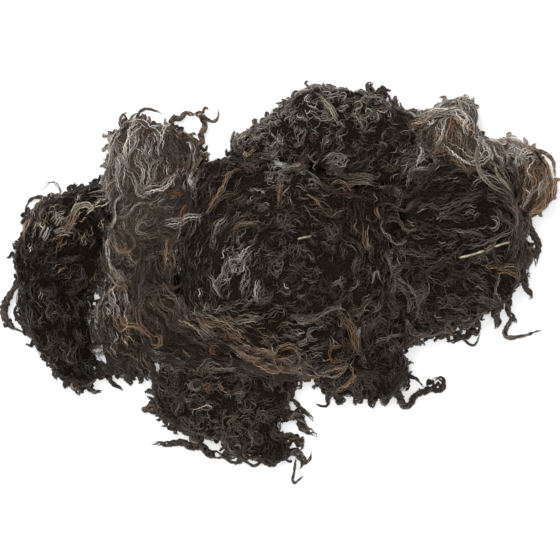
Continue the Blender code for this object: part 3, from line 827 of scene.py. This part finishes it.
clump_of_locks(
    "pale_upper_left",
    seed=11,
    felt=0.5,
    spacing=14.5,
    strands=8,
    length=46.0,
    width=8.0,
    rim=7.5,
    rows=[
        (-118, 96, -88, 8, 18, 24, 0, "pale_taupe"),
        (-104, 118, 70, 30, 40, 16, 3, "umber"),
        (-96, 98, -80, 10, 30, 24, 0, "pale_taupe"),
        (-84, 96, -75, 10, 30, 22, 0, "pale_taupe"),
        (-72, 100, -75, 25, 40, 18, 4, "umber"),
        (-66, 112, 60, 30, 40, 14, 5, "tan"),
        (-100, 80, -85, 12, 28, 24, 0, "taupe"),
        (-80, 76, -100, 18, 26, 22, 0, "pale_taupe"),
        (-122, 66, -100, 12, 30, 24, 0, "taupe"),
        (-104, 56, 40, 18, 26, 26, 0, "grey"),
        (-84, 62, 30, 16, 24, 26, 0, "umber"),
        (-126, 40, -85, 14, 30, 22, 0, "grey"),
        (-110, 36, -60, 25, 34, 20, 3, "soft_charcoal"),
        (-92, 32, -30, 40, 40, 16, 4, "charcoal"),
        (-76, 46, 35, 25, 30, 22, 2, "charcoal"),
        (-118, 18, -75, 25, 40, 18, 4, "soft_charcoal"),
    ],
    ringlets=[
        (-112, 102, -119, 121, -110, 127, 0.3, 1.0, 1.4),
        (-108, 104, -112, 120, -103, 127, 0.3, 1.0, 1.4),
        (-108, 118, -100, 129, -86, 124, 0.3, 1.0, 1.3),
        (-103, 110, -104, 119, -100, 126, 1.0, 1.0, 4.2),
        (-80, 104, -80, 116, -79, 127, 1.2, 2.0, 2.4),
        (-79, 119, -72, 124, -60, 126, 1.2, 2.0, 2.2),
        (-66, 98, -57, 110, -59, 127, 1.2, 2.5, 3.0),
        (-59, 124, -51, 120, -46, 122, 0.2, 1.0, 1.3, 6, 100),
        (-66, 96, -57, 90, -62, 81, 0.2, 1.0, 1.2),
        (-120, 104, -125, 108, -129, 112, 1.0, 1.0, 2.6),
        (-122, 94, -127, 93, -130, 94, 1.0, 1.0, 2.2),
        (-120, 80, -126, 84, -128, 80, 1.0, 1.0, 2.2),
    ],
    ringlet_wool="umber",
    laid=[
        ("grey", 0.8, 5, ring(-100, 39, 5.3, 0, 350)),
        ("soft_charcoal", 1.8, 10, [(-132, 24), (-130, 10), (-127, -2)]),
        ("taupe", 2.0, 14, [(-128, 14), (-124, 6), (-119, 0), (-113, -2)]),
        ("charcoal", 2.0, 14, [(-103, 17), (-95, 19), (-86, 20)]),
        ("tan", 0.9, 5, [(-120, 42), (-112, 37), (-107, 32)] + ring(-113.5, 28.5, 7.5, 0, -300)),
        ("tan", 0.7, 5, ring(-115.5, 25.5, 3.8, 90, -330)),
        ("copper", 0.9, 5, [(-64, 60), (-70, 53)] + ring(-69.8, 47, 3.2, 180, 170)),
        ("copper", 0.8, 5, ring(-96.4, 113.4, 4.5, 0, 340)),
        ("dark_umber", 1.6, 8, [(-72, 105), (-73, 96), (-71, 88)]),
        ("copper", 0.8, 5, [(-82, 67), (-76, 65), (-70, 61)]),
    ],
)


# Pale locks at the upper right
# A sandy grey clump with a soft nub of short wool, and long sun-bleached locks that fall from
# its far edge over the dark wool in front of it.

clump_of_locks(
    "pale_upper_right",
    seed=12,
    felt=0.5,
    spacing=14.0,
    strands=8,
    length=36.0,
    width=8.0,
    rim=7.5,
    rows=[
        (112, 124, 10, 35, 14, 24, 0, "silver_taupe"),
        (130, 122, -15, 25, 12, 30, 0, "sand_grey"),
        (136, 134, 60, 50, 20, 20, 0, "sand_grey"),
        (146, 116, -60, 40, 16, 26, 0, "sand_grey"),
        (122, 108, -95, 12, 16, 26, 0, "brown"),
        (132, 104, -88, 10, 14, 26, 0, "brown"),
        (142, 98, -80, 12, 16, 26, 0, "brown"),
        (112, 100, 20, 40, 36, 16, 4, "charcoal"),
        (130, 86, -20, 25, 20, 22, 0, "tan"),
        (145, 84, -80, 14, 18, 24, 0, "brown"),
        (158, 98, -50, 35, 30, 16, 3, "silver_taupe"),
        (168, 99, 30, 45, 30, 14, 5, "silver_taupe"),
        (176, 98, 10, 45, 30, 14, 5, "silver_taupe"),
        (166, 84, -60, 25, 26, 18, 2, "brown"),
    ],
    ringlets=[
        (122, 127, 119, 131, 119, 134, 0.8, 1.0, 2.2),
        (131, 130, 137, 136, 142, 140, 0.8, 1.0, 3.4),
        (142, 117, 147, 115, 150, 112, 0.8, 1.0, 2.4),
        (164, 98, 170, 106, 179, 106, 1.2, 1.5, 3.0),
    ],
    ringlet_wool="sand_grey",
    laid=[
        (
            "beige", 0.8, 14,
            [(115, 126), (130, 127), (141, 120), (150, 109), (146, 98), (145, 88), (149, 76),
             (156, 69.7), (165, 65), (173, 60)],
        ),
        ("beige", 0.65, 9, [(156, 91), (159, 84), (160.5, 77), (166, 71.5), (170, 66), (174, 62)]),
        ("beige", 1.2, 8, [(108, 123), (120, 127), (131, 122), (137, 112)]),
        ("tan", 1.0, 7, [(122, 91), (130, 87), (141, 78)]),
    ],
)


# The dark crown
# The high middle of the heap: charcoal wool, felted in short tight curls, with lighter combed
# patches at the left and near edge.

clump_of_locks(
    "crown",
    seed=13,
    felt=0.56,
    spacing=27.0,
    strands=7,
    length=32.0,
    width=7.0,
    rim=7.5,
    rows=[
        (-52, 66, 60, 25, 26, 24, 0, "umber"),
        (-36, 66, 50, 20, 22, 26, 0, "umber"),
        (-20, 78, 10, 30, 30, 20, 3, "dark_umber"),
        (-4, 78, 30, 45, 50, 12, 8, "grey"),
        (-20, 50, 40, 60, 60, 12, 8, "charcoal"),
        (0, 50, 30, 70, 60, 12, 8, "charcoal"),
        (30, 88, 20, 20, 24, 26, 1, "grey"),
        (26, 72, -40, 30, 40, 18, 5, "soft_charcoal"),
        (48, 68, 10, 25, 36, 20, 6, "umber"),
        (30, 54, -30, 35, 30, 20, 3, "umber"),
        (44, 48, 60, 45, 40, 16, 5, "russet"),
        (70, 50, 80, 30, 26, 24, 2, "dark_umber"),
        (66, 30, 85, 25, 26, 24, 2, "charcoal"),
        (-62, 30, 80, 22, 24, 24, 0, "black"),
        (-60, 5, 80, 25, 26, 24, 0, "charcoal"),
        (-30, 20, 55, 18, 16, 18, 0, "grey"),
        (-25, -5, 55, 25, 20, 16, 2, "grey"),
        (0, 20, 10, 50, 50, 12, 8, "soft_charcoal"),
        (20, 10, -10, 60, 50, 12, 8, "soft_charcoal"),
        (5, -15, 40, 45, 40, 14, 6, "soft_charcoal"),
        (30, -12, 20, 40, 40, 18, 5, "russet"),
        (60, 0, 60, 50, 50, 20, 6, "charcoal"),
        # Painted shade: black wool where the crown's right side lies in shade
        (85, 30, 90, 40, 40, 20, 4, "black"),
        (50, -30, -60, 30, 30, 22, 3, "umber"),
        (-30, -35, -25, 15, 18, 28, 0, "brown"),
        (0, -45, -25, 25, 24, 24, 2, "brown"),
        (20, -35, 5, 20, 26, 22, 2, "grey"),
    ],
    ringlets=[
        (-50, 70, -57, 80, -53, 87, 1.0, 1.0, 3.2),
    ],
    ringlet_wool="dark_umber",
    laid=[
        ("tan", 0.9, 7, [(-56, 43), (-50, 55), (-40, 70), (-36, 81), (-28, 83), (-24, 80)]),
        ("soft_charcoal", 2.0, 16, [(48, 74), (60, 75.5), (73, 73)]),
        ("charcoal", 1.6, 10, [(84, 73), (88, 67), (91, 61)]),
        ("dark_umber", 1.8, 12, [(-66, 67), (-65, 60), (-62, 53)]),
        ("umber", 0.9, 5, [(-32, 82), (-22, 87.5), (-16, 81)]),
        ("tan", 0.8, 5, [(3.6, 77), (3, 71), (0.5, 65), (0.7, 52)]),
        ("grey", 0.7, 5, [(15, 81), (25, 79.5), (30, 69)]),
        ("grey", 0.6, 3, [(19, 72), (25, 75), (29, 68)]),
        ("tan", 0.8, 5, [(36, 68), (41, 72), (47, 73), (54, 65)]),
        ("tan", 0.6, 3, [(41, 66), (46, 70), (51, 65)]),
        ("tan", 0.7, 5, [(18, 63), (25, 61), (31, 52)]),
        ("russet", 0.9, 5, [(36, 65), (52, 63), (73, 58)]),
        ("tan", 1.0, 7, [(63.6, 44), (62.5, 29), (65.7, 21.6), (71, 22.6)]),
        ("tan", 0.7, 5, [(72, 56), (70, 51), (75, 43)]),
        ("umber", 0.8, 5, [(66, 42), (73, 33), (78, 24)]),
        ("beige", 1.1, 1, [(13, 30.5), (24, 32.8)]),
        ("grey", 0.8, 5, [(10, -31), (24, -29), (34, -22), (42, -18), (51, -27)]),
        ("grey", 0.7, 5, ring(26, -39, 5.0, 0, 330)),
        ("grey", 0.8, 5, [(34, -6), (44, 1), (49, -9)]),
        ("grey", 0.6, 3, [(58, 3), (58, -3), (49, -8)]),
        ("grey", 0.7, 5, [(67, -6), (71, 9), (76, -4)]),
        ("tan", 0.9, 5, [(46, -20), (56, -36), (60, -50), (54, -56)]),
        ("tan", 0.9, 5, [(43, -22), (53, -38), (56, -50), (50, -55)]),
        ("copper", 0.8, 5, ring(43, -54, 7.0, 40, 300)),
    ],
)


# The far ridge
# The dark ridge along the heap's far edge, of matted charcoal wool with small tight curls at
# its rim.

clump_of_locks(
    "far_ridge",
    seed=14,
    felt=0.61,
    spacing=25.0,
    strands=7,
    length=28.0,
    width=6.0,
    rim=7.0,
    rows=[
        (-20, 104, 20, 45, 45, 12, 6, "grey"),
        (8, 112, 60, 60, 55, 12, 8, "grey"),
        (34, 124, -35, 40, 45, 14, 6, "grey"),
        (60, 122, 10, 60, 55, 12, 8, "grey"),
        (46, 112, 40, 60, 55, 12, 8, "grey"),
        (86, 112, 30, 45, 45, 14, 6, "charcoal"),
        (20, 99, 70, 60, 50, 12, 6, "russet"),
        (36, 104, 20, 40, 40, 14, 6, "soft_charcoal"),
        (30, 116, 20, 60, 55, 12, 8, "grey"),
        (60, 92, 25, 30, 36, 16, 4, "charcoal"),
        (85, 90, 35, 30, 36, 16, 4, "soft_charcoal"),
        (104, 90, 30, 25, 30, 18, 3, "grey"),
        (70, 70, 40, 40, 40, 16, 5, "charcoal"),
    ],
    ringlets=[
        (-28, 102, -33, 104, -36, 103, 1.2, 1.0, 2.6),
        (-12, 108, -17, 114, -21, 119, 1.2, 1.0, 3.0),
        (-4, 112, -8, 118, -14, 120, 1.2, 1.0, 2.4),
        (4, 124, 4, 131, 1, 136, 1.2, 1.0, 2.6),
        (10, 126, 9, 132, 12, 137, 1.2, 1.0, 2.6),
        (38, 136, 38, 141, 42, 145, 1.2, 1.0, 2.6),
        (58, 134, 60, 139, 60, 144, 1.4, 1.0, 3.0),
        (68, 132, 67, 142, 71, 149, 1.4, 1.5, 4.0),
        (73, 128, 76, 144, 79, 137, 1.0, 1.5, 3.4),
        (76, 138, 80, 140, 83, 138, 0.3, 1.0, 1.6),
        (84, 122, 86, 130, 90, 135, 1.2, 1.5, 3.0),
        (88, 118, 96, 126, 107, 128, 0.8, 1.5, 2.6),
    ],
    ringlet_wool="charcoal",
    laid=[
        ("grey", 0.9, 5, [(25, 141), (37, 131), (46, 119)]),
        ("beige", 0.7, 5, [(27, 138), (38, 127), (45, 112)]),
        ("tan", 0.9, 5, [(-28, 88), (-23, 95), (-16, 101)]),
        ("grey", 0.8, 5, [(29, 87), (40.5, 94), (53, 88)]),
        ("grey", 0.6, 3, [(32, 85), (42, 88), (50, 84)]),
    ],
)


# The brown lobe at the far right
# A small lobe of sun-browned wool in tight upright waves, with one dark curl above it.

clump_of_locks(
    "brown_far_right",
    seed=15,
    felt=0.5,
    spacing=12.0,
    strands=8,
    length=34.0,
    width=6.0,
    rim=7.5,
    rows=[
        (186, 90, 20, 35, 40, 14, 6, "dark_umber"),
        (182, 72, -85, 12, 22, 24, 0, "pale_taupe"),
        (192, 76, -75, 12, 26, 22, 2, "sunned_brown"),
        (198, 66, -95, 14, 26, 20, 2, "sunned_brown"),
        (186, 58, -110, 16, 22, 22, 0, "sunned_brown"),
    ],
    ringlets=[
        (190, 97, 204, 92, 207, 77, 0.6, 1.0, 1.9),
        (196, 76, 203, 75, 206, 69, 1.0, 1.0, 2.2),
        (198, 62, 191, 50, 178, 51, 0.6, 1.0, 2.4),
    ],
    ringlet_wool="brown",
    laid=[
        ("brown", 0.9, 7, [(188, 85), (197, 84), (202, 76), (199, 68)]),
        ("taupe", 0.9, 7, [(190, 79), (196, 78), (197, 70), (192, 63)]),
    ],
)


# The right flank
# Long dark wavy locks that run across the clump, greyer and upright at its right edge, with
# loose ringlets hanging out of its near edge.

clump_of_locks(
    "right_flank",
    seed=16,
    felt=0.5,
    spacing=21.0,
    strands=7,
    length=42.0,
    width=6.0,
    rim=7.5,
    rows=[
        # The black wool along the far edge is partly painted shade, of the crevice under the far ridge and
        # the pale clump
        (100, 70, 25, 22, 30, 22, 2, "black"),
        (120, 66, 15, 15, 26, 26, 0, "black"),
        (145, 62, -15, 15, 26, 26, 0, "dark_umber"),
        (110, 48, 10, 18, 30, 28, 0, "umber"),
        (135, 46, 12, 16, 30, 28, 2, "grey"),
        (160, 50, -20, 18, 30, 24, 2, "soft_charcoal"),
        (174, 56, -88, 12, 28, 22, 0, "soft_charcoal"),
        (176, 34, -88, 12, 28, 20, 0, "soft_charcoal"),
        (98, 33, -40, 35, 36, 22, 4, "russet"),
        (125, 30, -10, 20, 34, 28, 3, "soft_charcoal"),
        (150, 30, 15, 18, 30, 24, 2, "soft_charcoal"),
        (90, 0, 70, 45, 45, 18, 8, "soft_charcoal"),
        (110, -5, 20, 45, 45, 18, 8, "charcoal"),
        (130, 8, -20, 25, 34, 24, 3, "charcoal"),
        (155, 8, -10, 15, 22, 26, 0, "soft_charcoal"),
        (172, 2, -50, 20, 22, 24, 0, "umber"),
        (140, -10, -20, 25, 30, 22, 3, "soft_charcoal"),
        (160, -4, -60, 20, 26, 22, 0, "charcoal"),
        (115, -28, -60, 30, 36, 18, 5, "soft_charcoal"),
        (178, 20, -85, 12, 28, 18, 0, "charcoal"),
    ],
    ringlets=[
        (176, 52, 192, 33, 191, 5, 1.0, 2.0, 3.4),
        (172, 38, 186, 26, 187, 8, 1.4, 2.0, 4.6),
        (176, 12, 186, -3, 186, -14, 1.6, 1.5, 3.0),
        (168, -8, 173, -22, 177, -34, 1.4, 1.5, 3.0),
        (176, -26, 172, -42, 206, -33.5, 0.3, 1.5, 2.4),
        (162, -8, 164, -24, 160, -36, 2.0, 1.5, 4.2),
        (156, -12, 150, -26, 147, -40, 2.2, 1.5, 3.6),
        (148, -36, 138, -42, 124, -46, 1.2, 3.0, 3.0),
        (138, -43, 146, -48, 151, -37, 0.2, 1.0, 1.1),
        (134, -22, 128, -33, 134, -42, 1.4, 2.0, 3.0),
        (130, -22, 140, -32, 151, -34, 1.4, 1.5, 4.0),
        (104, -36, 104, -44, 109, -50, 1.4, 1.5, 3.2),
    ],
    ringlet_wool="charcoal",
    laid=[
        ("tan", 0.8, 5, [(146, 12), (162, 8.6), (177, 13.7)]),
        ("tan", 0.8, 5, [(158, 9), (172, 9), (181, 3), (178, -6)]),
        ("tan", 0.7, 5, [(160, 7), (172, 6), (178, 0), (176, -8)]),
        ("beige", 0.6, 3, [(162, 11), (175, 12), (180, 6)]),
        ("beige", 1.1, 1, [(157.6, 25), (164, 27.4), (170, 28.8)]),
        ("beige", 1.4, 1, [(131, 17), (141, 19), (150.6, 22.4)]),
        ("umber", 0.6, 3, [(113, 41), (121, 34.5), (132, 33.7)]),
        ("soft_charcoal", 1.2, 6, [(98, 54), (108, 57), (117, 52), (129, 58), (143, 62), (152, 65)]),
        ("soft_charcoal", 1.2, 6, [(115, 41), (119, 48), (128, 52), (137, 57), (148, 58)]),
        ("grey", 1.0, 4, [(129, 26), (141, 25), (155, 30), (168, 36), (175, 41)]),
        ("grey", 1.0, 4, [(175, 44), (180, 24), (179, 10)]),
        ("charcoal", 2.0, 16, [(80, -8), (84, -16), (88, -25)]),
        ("grey", 0.8, 5, ring(156, 42, 5.0, 200, 280)),
        ("grey", 0.8, 5, [(77, 4), (90, 2), (100, -8), (104, -22), (98, -33)]),
        ("grey", 0.7, 5, [(80, -2), (90, -4), (97, -14), (94, -26)]),
    ],
)


# The left flank
# The darkest wool of the heap, nearly black, in small tight curls, with a brown weathered patch
# and a rope-like loop that stands out at the left.

clump_of_locks(
    "left_flank",
    seed=17,
    felt=0.58,
    spacing=27.0,
    strands=7,
    length=26.0,
    width=6.0,
    rim=7.0,
    rows=[
        (-160, 56, 30, 30, 35, 16, 4, "black"),
        (-140, 58, 40, 35, 35, 16, 4, "black"),
        (-160, 46, 50, 20, 20, 18, 0, "pale_taupe"),
        (-154, 43, 60, 20, 20, 18, 0, "beige"),
        (-157, 38, 60, 20, 20, 18, 0, "sunned_brown"),
        (-149, 34, 70, 20, 20, 18, 0, "brown"),
        (-168, 46, 80, 30, 30, 16, 3, "black"),
        (-178, 30, 80, 25, 30, 16, 3, "black"),
        (-140, 40, -80, 25, 30, 18, 2, "black"),
        (-165, 20, 20, 35, 35, 16, 5, "black"),
        (-140, 18, -60, 35, 35, 16, 4, "black"),
        (-182, 4, 60, 35, 40, 12, 7, "charcoal"),
        (-160, 0, 30, 40, 40, 14, 6, "black"),
        (-184, -20, -80, 25, 30, 18, 3, "black"),
        (-165, -25, -70, 30, 36, 16, 5, "charcoal"),
        (-150, -30, -50, 40, 40, 14, 7, "charcoal"),
        (-170, -45, -75, 25, 34, 16, 5, "charcoal"),
        (-152, -52, -60, 35, 40, 14, 7, "charcoal"),
        (-150, -70, -50, 35, 36, 14, 6, "dark_umber"),
    ],
    ringlets=[
        (-156, 54, -180, 63, -191, 51, 0.4, 1.0, 1.8),
        (-150, 64, -149, 69, -148, 74, 1.2, 1.0, 2.6),
        (-180, 40, -188, 44, -194, 42, 1.2, 1.0, 3.0),
        (-184, 24, -191, 26, -197, 20, 1.2, 1.0, 2.6),
        (-188, 6, -206, -22, -188, -40, 0.5, 1.0, 4.4),
        (-188, -8, -198, -23, -187, -38, 0.3, 1.0, 1.4),
        (-178, -32, -184, -38, -185, -46, 1.4, 1.5, 3.2),
        (-170, -46, -175, -53, -178, -60, 1.4, 1.5, 3.0),
        (-162, -60, -167, -67, -168, -75, 1.6, 1.5, 3.0),
        (-154, -70, -152, -79, -151, -87, 1.6, 1.5, 3.2),
        (-148, -72, -140, -82, -130, -82, 0.6, 1.5, 2.0),
        (-160, -8, -147, -17, -137, -23, 0.8, 1.5, 3.4),
        (-148, -44, -140, -47, -130, -47, 1.2, 1.5, 3.4),
        (-146, -58, -138, -60, -129, -66, 1.2, 1.5, 3.4),
    ],
    ringlet_wool="black",
    laid=[
        ("beige", 1.3, 10, [(-154, 45), (-149, 54), (-144, 57), (-139, 55), (-136, 50)]),
        ("brown", 1.2, 5, [(-160, 47), (-152, 44), (-147, 34)]),
        ("taupe", 1.9, 12, [(-167, 40), (-161, 47), (-154, 50)]),
        ("brown", 1.9, 12, [(-159, 35), (-153, 43), (-151, 52)]),
        ("taupe", 1.7, 10, [(-166, 34), (-158, 37), (-149, 35)]),
        ("pale_taupe", 1.8, 12, [(-176, 30), (-172, 35), (-169, 42)]),
        ("black", 0.5, 3, [(-165, 60), (-163, 68), (-168, 75), (-175, 73), (-179, 64)]),
    ],
)


# The brown roll
# A roll of brown, straighter fleece that lies across the near side of the crown, combed along
# its length.

clump_of_locks(
    "brown_roll",
    seed=18,
    felt=0.46,
    spacing=15.0,
    strands=8,
    length=42.0,
    width=8.0,
    rim=7.5,
    rows=[
        (-90, 5, -80, 20, 24, 22, 0, "charcoal"),
        (-100, -8, -85, 20, 24, 22, 0, "charcoal"),
        (-80, -12, -20, 15, 20, 26, 0, "umber"),
        (-70, -20, -15, 10, 14, 30, 0, "brown"),
        (-50, -28, -12, 10, 14, 30, 0, "brown"),
        (-75, -40, -20, 20, 24, 24, 2, "dark_umber"),
        (-55, -45, -30, 18, 22, 24, 2, "umber"),
        (-30, -42, -28, 12, 16, 30, 0, "umber"),
        (-10, -52, -22, 14, 18, 28, 0, "umber"),
        (8, -58, -10, 25, 30, 20, 6, "brown"),
        (-100, -40, -70, 25, 28, 22, 2, "charcoal"),
        (-40, -60, -20, 20, 22, 22, 2, "dark_umber"),
    ],
    ringlets=[],
    ringlet_wool="umber",
    laid=[
        ("umber", 1.8, 12, [(-76, -8), (-72, -18), (-68, -28)]),
        ("brown", 1.6, 12, [(-60, -24), (-54, -31), (-46, -39)]),
        ("dark_umber", 2.0, 18, [(-40, -58), (-30, -62), (-21, -66), (-11, -70), (0, -72)]),
        ("dark_umber", 2.0, 14, [(-5, -70), (4, -71), (14, -70)]),
        ("charcoal", 2.0, 16, [(-86, -57), (-76, -60), (-63, -61)]),
        ("beige", 0.8, 5, [(-76, -23), (-50, -25), (-26, -40)]),
        ("tan", 0.7, 5, [(-70, -27), (-46, -30), (-22, -46)]),
        ("tan", 0.8, 5, ring(7, -57, 10.5, 30, 330)),
        ("tan", 0.7, 5, ring(7, -57, 8.0, 200, 330)),
        ("umber", 0.7, 5, ring(7, -57, 5.0, 100, 300)),
    ],
)


# The near right clump
# A dark clump of round, open curls with stubby ringlets along its near edge and one long lock
# that ends in a ring.

clump_of_locks(
    "near_right",
    seed=19,
    felt=0.68,
    spacing=20.0,
    strands=7,
    length=30.0,
    width=6.0,
    rim=7.0,
    rows=[
        (44, -66, 60, 30, 40, 20, 6, "soft_charcoal"),
        (60, -50, -70, 30, 36, 18, 5, "charcoal"),
        (66, -70, -60, 40, 40, 14, 7, "charcoal"),
        (84, -40, 40, 40, 44, 16, 7, "soft_charcoal"),
        (84, -62, -50, 40, 44, 14, 7, "charcoal"),
        (100, -60, -60, 30, 36, 16, 5, "charcoal"),
        (80, -82, -80, 30, 36, 12, 6, "charcoal"),
        (100, -30, -70, 30, 36, 16, 5, "charcoal"),
    ],
    ringlets=[
        (88, -82, 95, -93, 106, -84, 0.8, 1.5, 3.2),
        (98, -91, 108, -82.5, 118, -81.5, 0.3, 1.0, 2.6, 4.6, 280),
        (92, -77, 101, -72, 109, -81, 0.3, 1.0, 1.5),
        (80, -80, 80, -87, 80, -94, 1.4, 1.0, 4.4),
        (69, -80, 70, -88, 71, -95, 1.4, 1.0, 4.4),
        (60, -80, 59, -87, 57, -94, 1.2, 1.0, 3.4),
        (46, -78, 45, -84, 44, -91, 1.2, 1.0, 3.4),
        (44, -78, 38, -87, 36, -94, 0.8, 1.5, 2.6),
        (37, -91, 33, -94, 26, -91, 0.2, 1.0, 1.1),
        (38, -72, 31, -76, 27, -82, 0.8, 1.0, 2.8),
    ],
    ringlet_wool="dark_umber",
    laid=[
        ("tan", 1.0, 7, [(52, -59), (57, -70), (51, -77), (39, -84), (28, -79)]),
        ("grey", 0.7, 5, [(68, -46), (80, -42), (94, -39)]),
    ],
)


# The near middle clump
# Charcoal wool in small round curls, with a long chain of ringlets lying along its near edge
# and a spray of dark ringlets at its right.

clump_of_locks(
    "near_middle",
    seed=20,
    felt=0.66,
    spacing=22.0,
    strands=7,
    length=26.0,
    width=6.0,
    rim=7.0,
    rows=[
        (-78, -72, -40, 40, 42, 14, 6, "soft_charcoal"),
        (-55, -72, -10, 35, 40, 16, 6, "soft_charcoal"),
        (-35, -68, 20, 25, 34, 20, 4, "soft_charcoal"),
        (-10, -76, -30, 35, 40, 16, 6, "umber"),
        (-70, -92, -20, 45, 46, 12, 8, "charcoal"),
        (-45, -92, 10, 50, 50, 12, 8, "soft_charcoal"),
        (-20, -95, 0, 45, 46, 12, 8, "soft_charcoal"),
        (0, -90, -30, 35, 40, 14, 6, "charcoal"),
        (-50, -110, -60, 35, 40, 12, 7, "soft_charcoal"),
        (-22, -115, -30, 40, 44, 12, 8, "soft_charcoal"),
        (-4, -126, -60, 35, 40, 12, 7, "dark_umber"),
    ],
    ringlets=[
        (0, -133, -26, -134, -58, -127, 3.2, 2.0, 1.8),
        (0, -133, -26, -134, -58, -127, -3.2, 2.0, 1.7),
        (-48, -130, -70, -122, -98, -123, 0.9, 3.0, 3.4),
        (-62, -106, -62, -117, -64, -127, 1.2, 1.5, 5.0),
        (-4, -118, 14, -118, 15, -132, 0.8, 1.5, 3.0),
        (2, -131, 17, -130, 13, -141, 1.0, 1.5, 4.0),
        (13, -133, 11, -151, 21, -141, 0.2, 1.0, 1.5),
        (16, -137, 22, -135, 24, -127, 0.3, 1.0, 1.3),
        (-2, -92, 14, -103, 27, -119, 1.8, 2.5, 4.8),
        (4, -86, 18, -96, 26, -107, 0.6, 1.5, 2.0),
        (-78, -95, -92, -96, -104, -95, 1.4, 2.5, 4.6),
        (-66, -104, -72, -108, -79, -110, 1.2, 1.0, 3.4),
        (-84, -82, -90, -84, -94, -85, 1.0, 1.0, 2.6),
        (0, -78, 8, -81, 13, -78, 1.0, 1.0, 3.0),
        (-8, -122, -8, -130, -6, -139, 1.4, 1.5, 3.4),
    ],
    ringlet_wool="charcoal",
    laid=[
        ("grey", 0.8, 5, [(-55, -67.5), (-49, -65), (-39, -65.8), (-30, -64.5)]),
        ("grey", 0.8, 5, [(-40, -51), (-33.7, -55), (-34, -63), (-40, -65)]),
        ("grey", 0.7, 5, ring(-62, -77, 4.0, 60, 330)),
        ("copper", 0.8, 7, ring(-50.5, -79.5, 3.0, 20, 330)),
        ("copper", 0.8, 5, ring(-47.4, -51, 2.6, 0, 330)),
    ],
)


# The near left lock
# A brown-grey lock in upright S-waves that ends in small black curls.

clump_of_locks(
    "near_left",
    seed=21,
    felt=0.64,
    spacing=14.0,
    strands=7,
    length=30.0,
    width=6.0,
    rim=7.0,
    rows=[
        (-126, 0, -88, 12, 30, 20, 0, "taupe"),
        (-126, -20, -85, 12, 34, 20, 0, "pale_taupe"),
        (-116, -34, -60, 20, 34, 18, 3, "brown"),
        (-102, -42, -30, 20, 30, 18, 4, "brown"),
        (-125, -45, -70, 25, 40, 14, 6, "umber"),
        (-112, -55, -70, 35, 44, 12, 8, "charcoal"),
        (-96, -62, -60, 35, 44, 12, 8, "charcoal"),
        (-122, -66, -80, 30, 40, 12, 7, "charcoal"),
    ],
    ringlets=[
        (-128, -62, -125, -75, -114, -83, 0.8, 1.5, 2.2),
        (-114, -62, -112, -72, -112, -80, 1.4, 1.5, 3.2),
        (-104, -62, -103, -70, -106, -77, 1.4, 1.5, 3.0),
        (-96, -62, -94, -69, -92, -77, 1.2, 1.5, 2.6),
    ],
    ringlet_wool="black",
    laid=[
        ("tan", 1.2, 8, [(-119, -12), (-117, -1), (-112.8, 0), (-110, -4), (-112, -11.5)]),
        ("tan", 1.2, 8, [(-118, -20), (-115.5, -33), (-107.6, -32), (-100, -37), (-96, -41)]),
        ("tan", 0.9, 8, ring(-91.4, -44, 5.0, 150, -320)),
        ("charcoal", 2.2, 18, [(-140, -28), (-136, -39), (-133, -50)]),
        ("dark_umber", 1.8, 12, [(-104, -44), (-98, -50), (-91, -54)]),
    ],
)


# The table, the light and the camera
# A plain white table under soft light from all round, with a soft lamp at the upper left and a
# stronger one above the camera, seen from straight above, as the heap was photographed.

bpy.data.objects.remove(heap_skin)
bpy.data.objects.remove(bare_heap)

TABLE_SIDE = 6.0
table_mesh = bpy.data.meshes.new("table")
side = TABLE_SIDE / 2
table_mesh.from_pydata(
    [(-side, -side, 0.0), (side, -side, 0.0), (side, side, 0.0), (-side, side, 0.0)],
    [],
    [(0, 1, 2, 3)],
)
table = bpy.data.objects.new("table", table_mesh)
bpy.context.scene.collection.objects.link(table)
white = bpy.data.materials.new("matt_white_laminate")
white.use_nodes = True
white_shader = white.node_tree.nodes["Principled BSDF"]
white_shader.inputs["Base Color"].default_value = (*linear("#f4f4f4"), 1.0)
white_shader.inputs["Roughness"].default_value = 0.9
white_shader.inputs["Specular IOR Level"].default_value = 0.2
table_mesh.materials.append(white)

world = bpy.data.worlds.new("studio")
bpy.context.scene.world = world
world.use_nodes = True
world.node_tree.nodes["Background"].inputs["Color"].default_value = (1.0, 1.0, 1.0, 1.0)
world.node_tree.nodes["Background"].inputs["Strength"].default_value = 0.64


def soft_lamp(name, place, power, size):
    """A square soft lamp at the given place that faces the middle of the heap."""
    lamp = bpy.data.lights.new(name, "AREA")
    lamp.energy = power
    lamp.size = size
    thing = bpy.data.objects.new(name, lamp)
    thing.location = place
    toward = -thing.location
    thing.rotation_euler = toward.to_track_quat("-Z", "Y").to_euler()
    bpy.context.scene.collection.objects.link(thing)


soft_lamp("key_lamp", (-0.7, 0.8, 1.7), 16.0, 0.8)
soft_lamp("top_lamp", (0.0, 0.0, 2.4), 34.0, 0.5)

# The picture is 420 mm wide on the table, and its middle is 0.75 mm right of and above the
# heap's. The lens is long, as a camera that stands well back has.
FRAME_WIDTH = 0.42
FRAME_MIDDLE = 0.00075
LENS = 180.0
SENSOR = 36.0
camera_data = bpy.data.cameras.new("camera")
camera_data.lens = LENS
camera_data.sensor_width = SENSOR
camera = bpy.data.objects.new("camera", camera_data)
camera.location = (FRAME_MIDDLE, FRAME_MIDDLE, FRAME_WIDTH / SENSOR * LENS)
bpy.context.scene.collection.objects.link(camera)
bpy.context.scene.camera = camera
bpy.context.scene.view_settings.view_transform = "Standard"
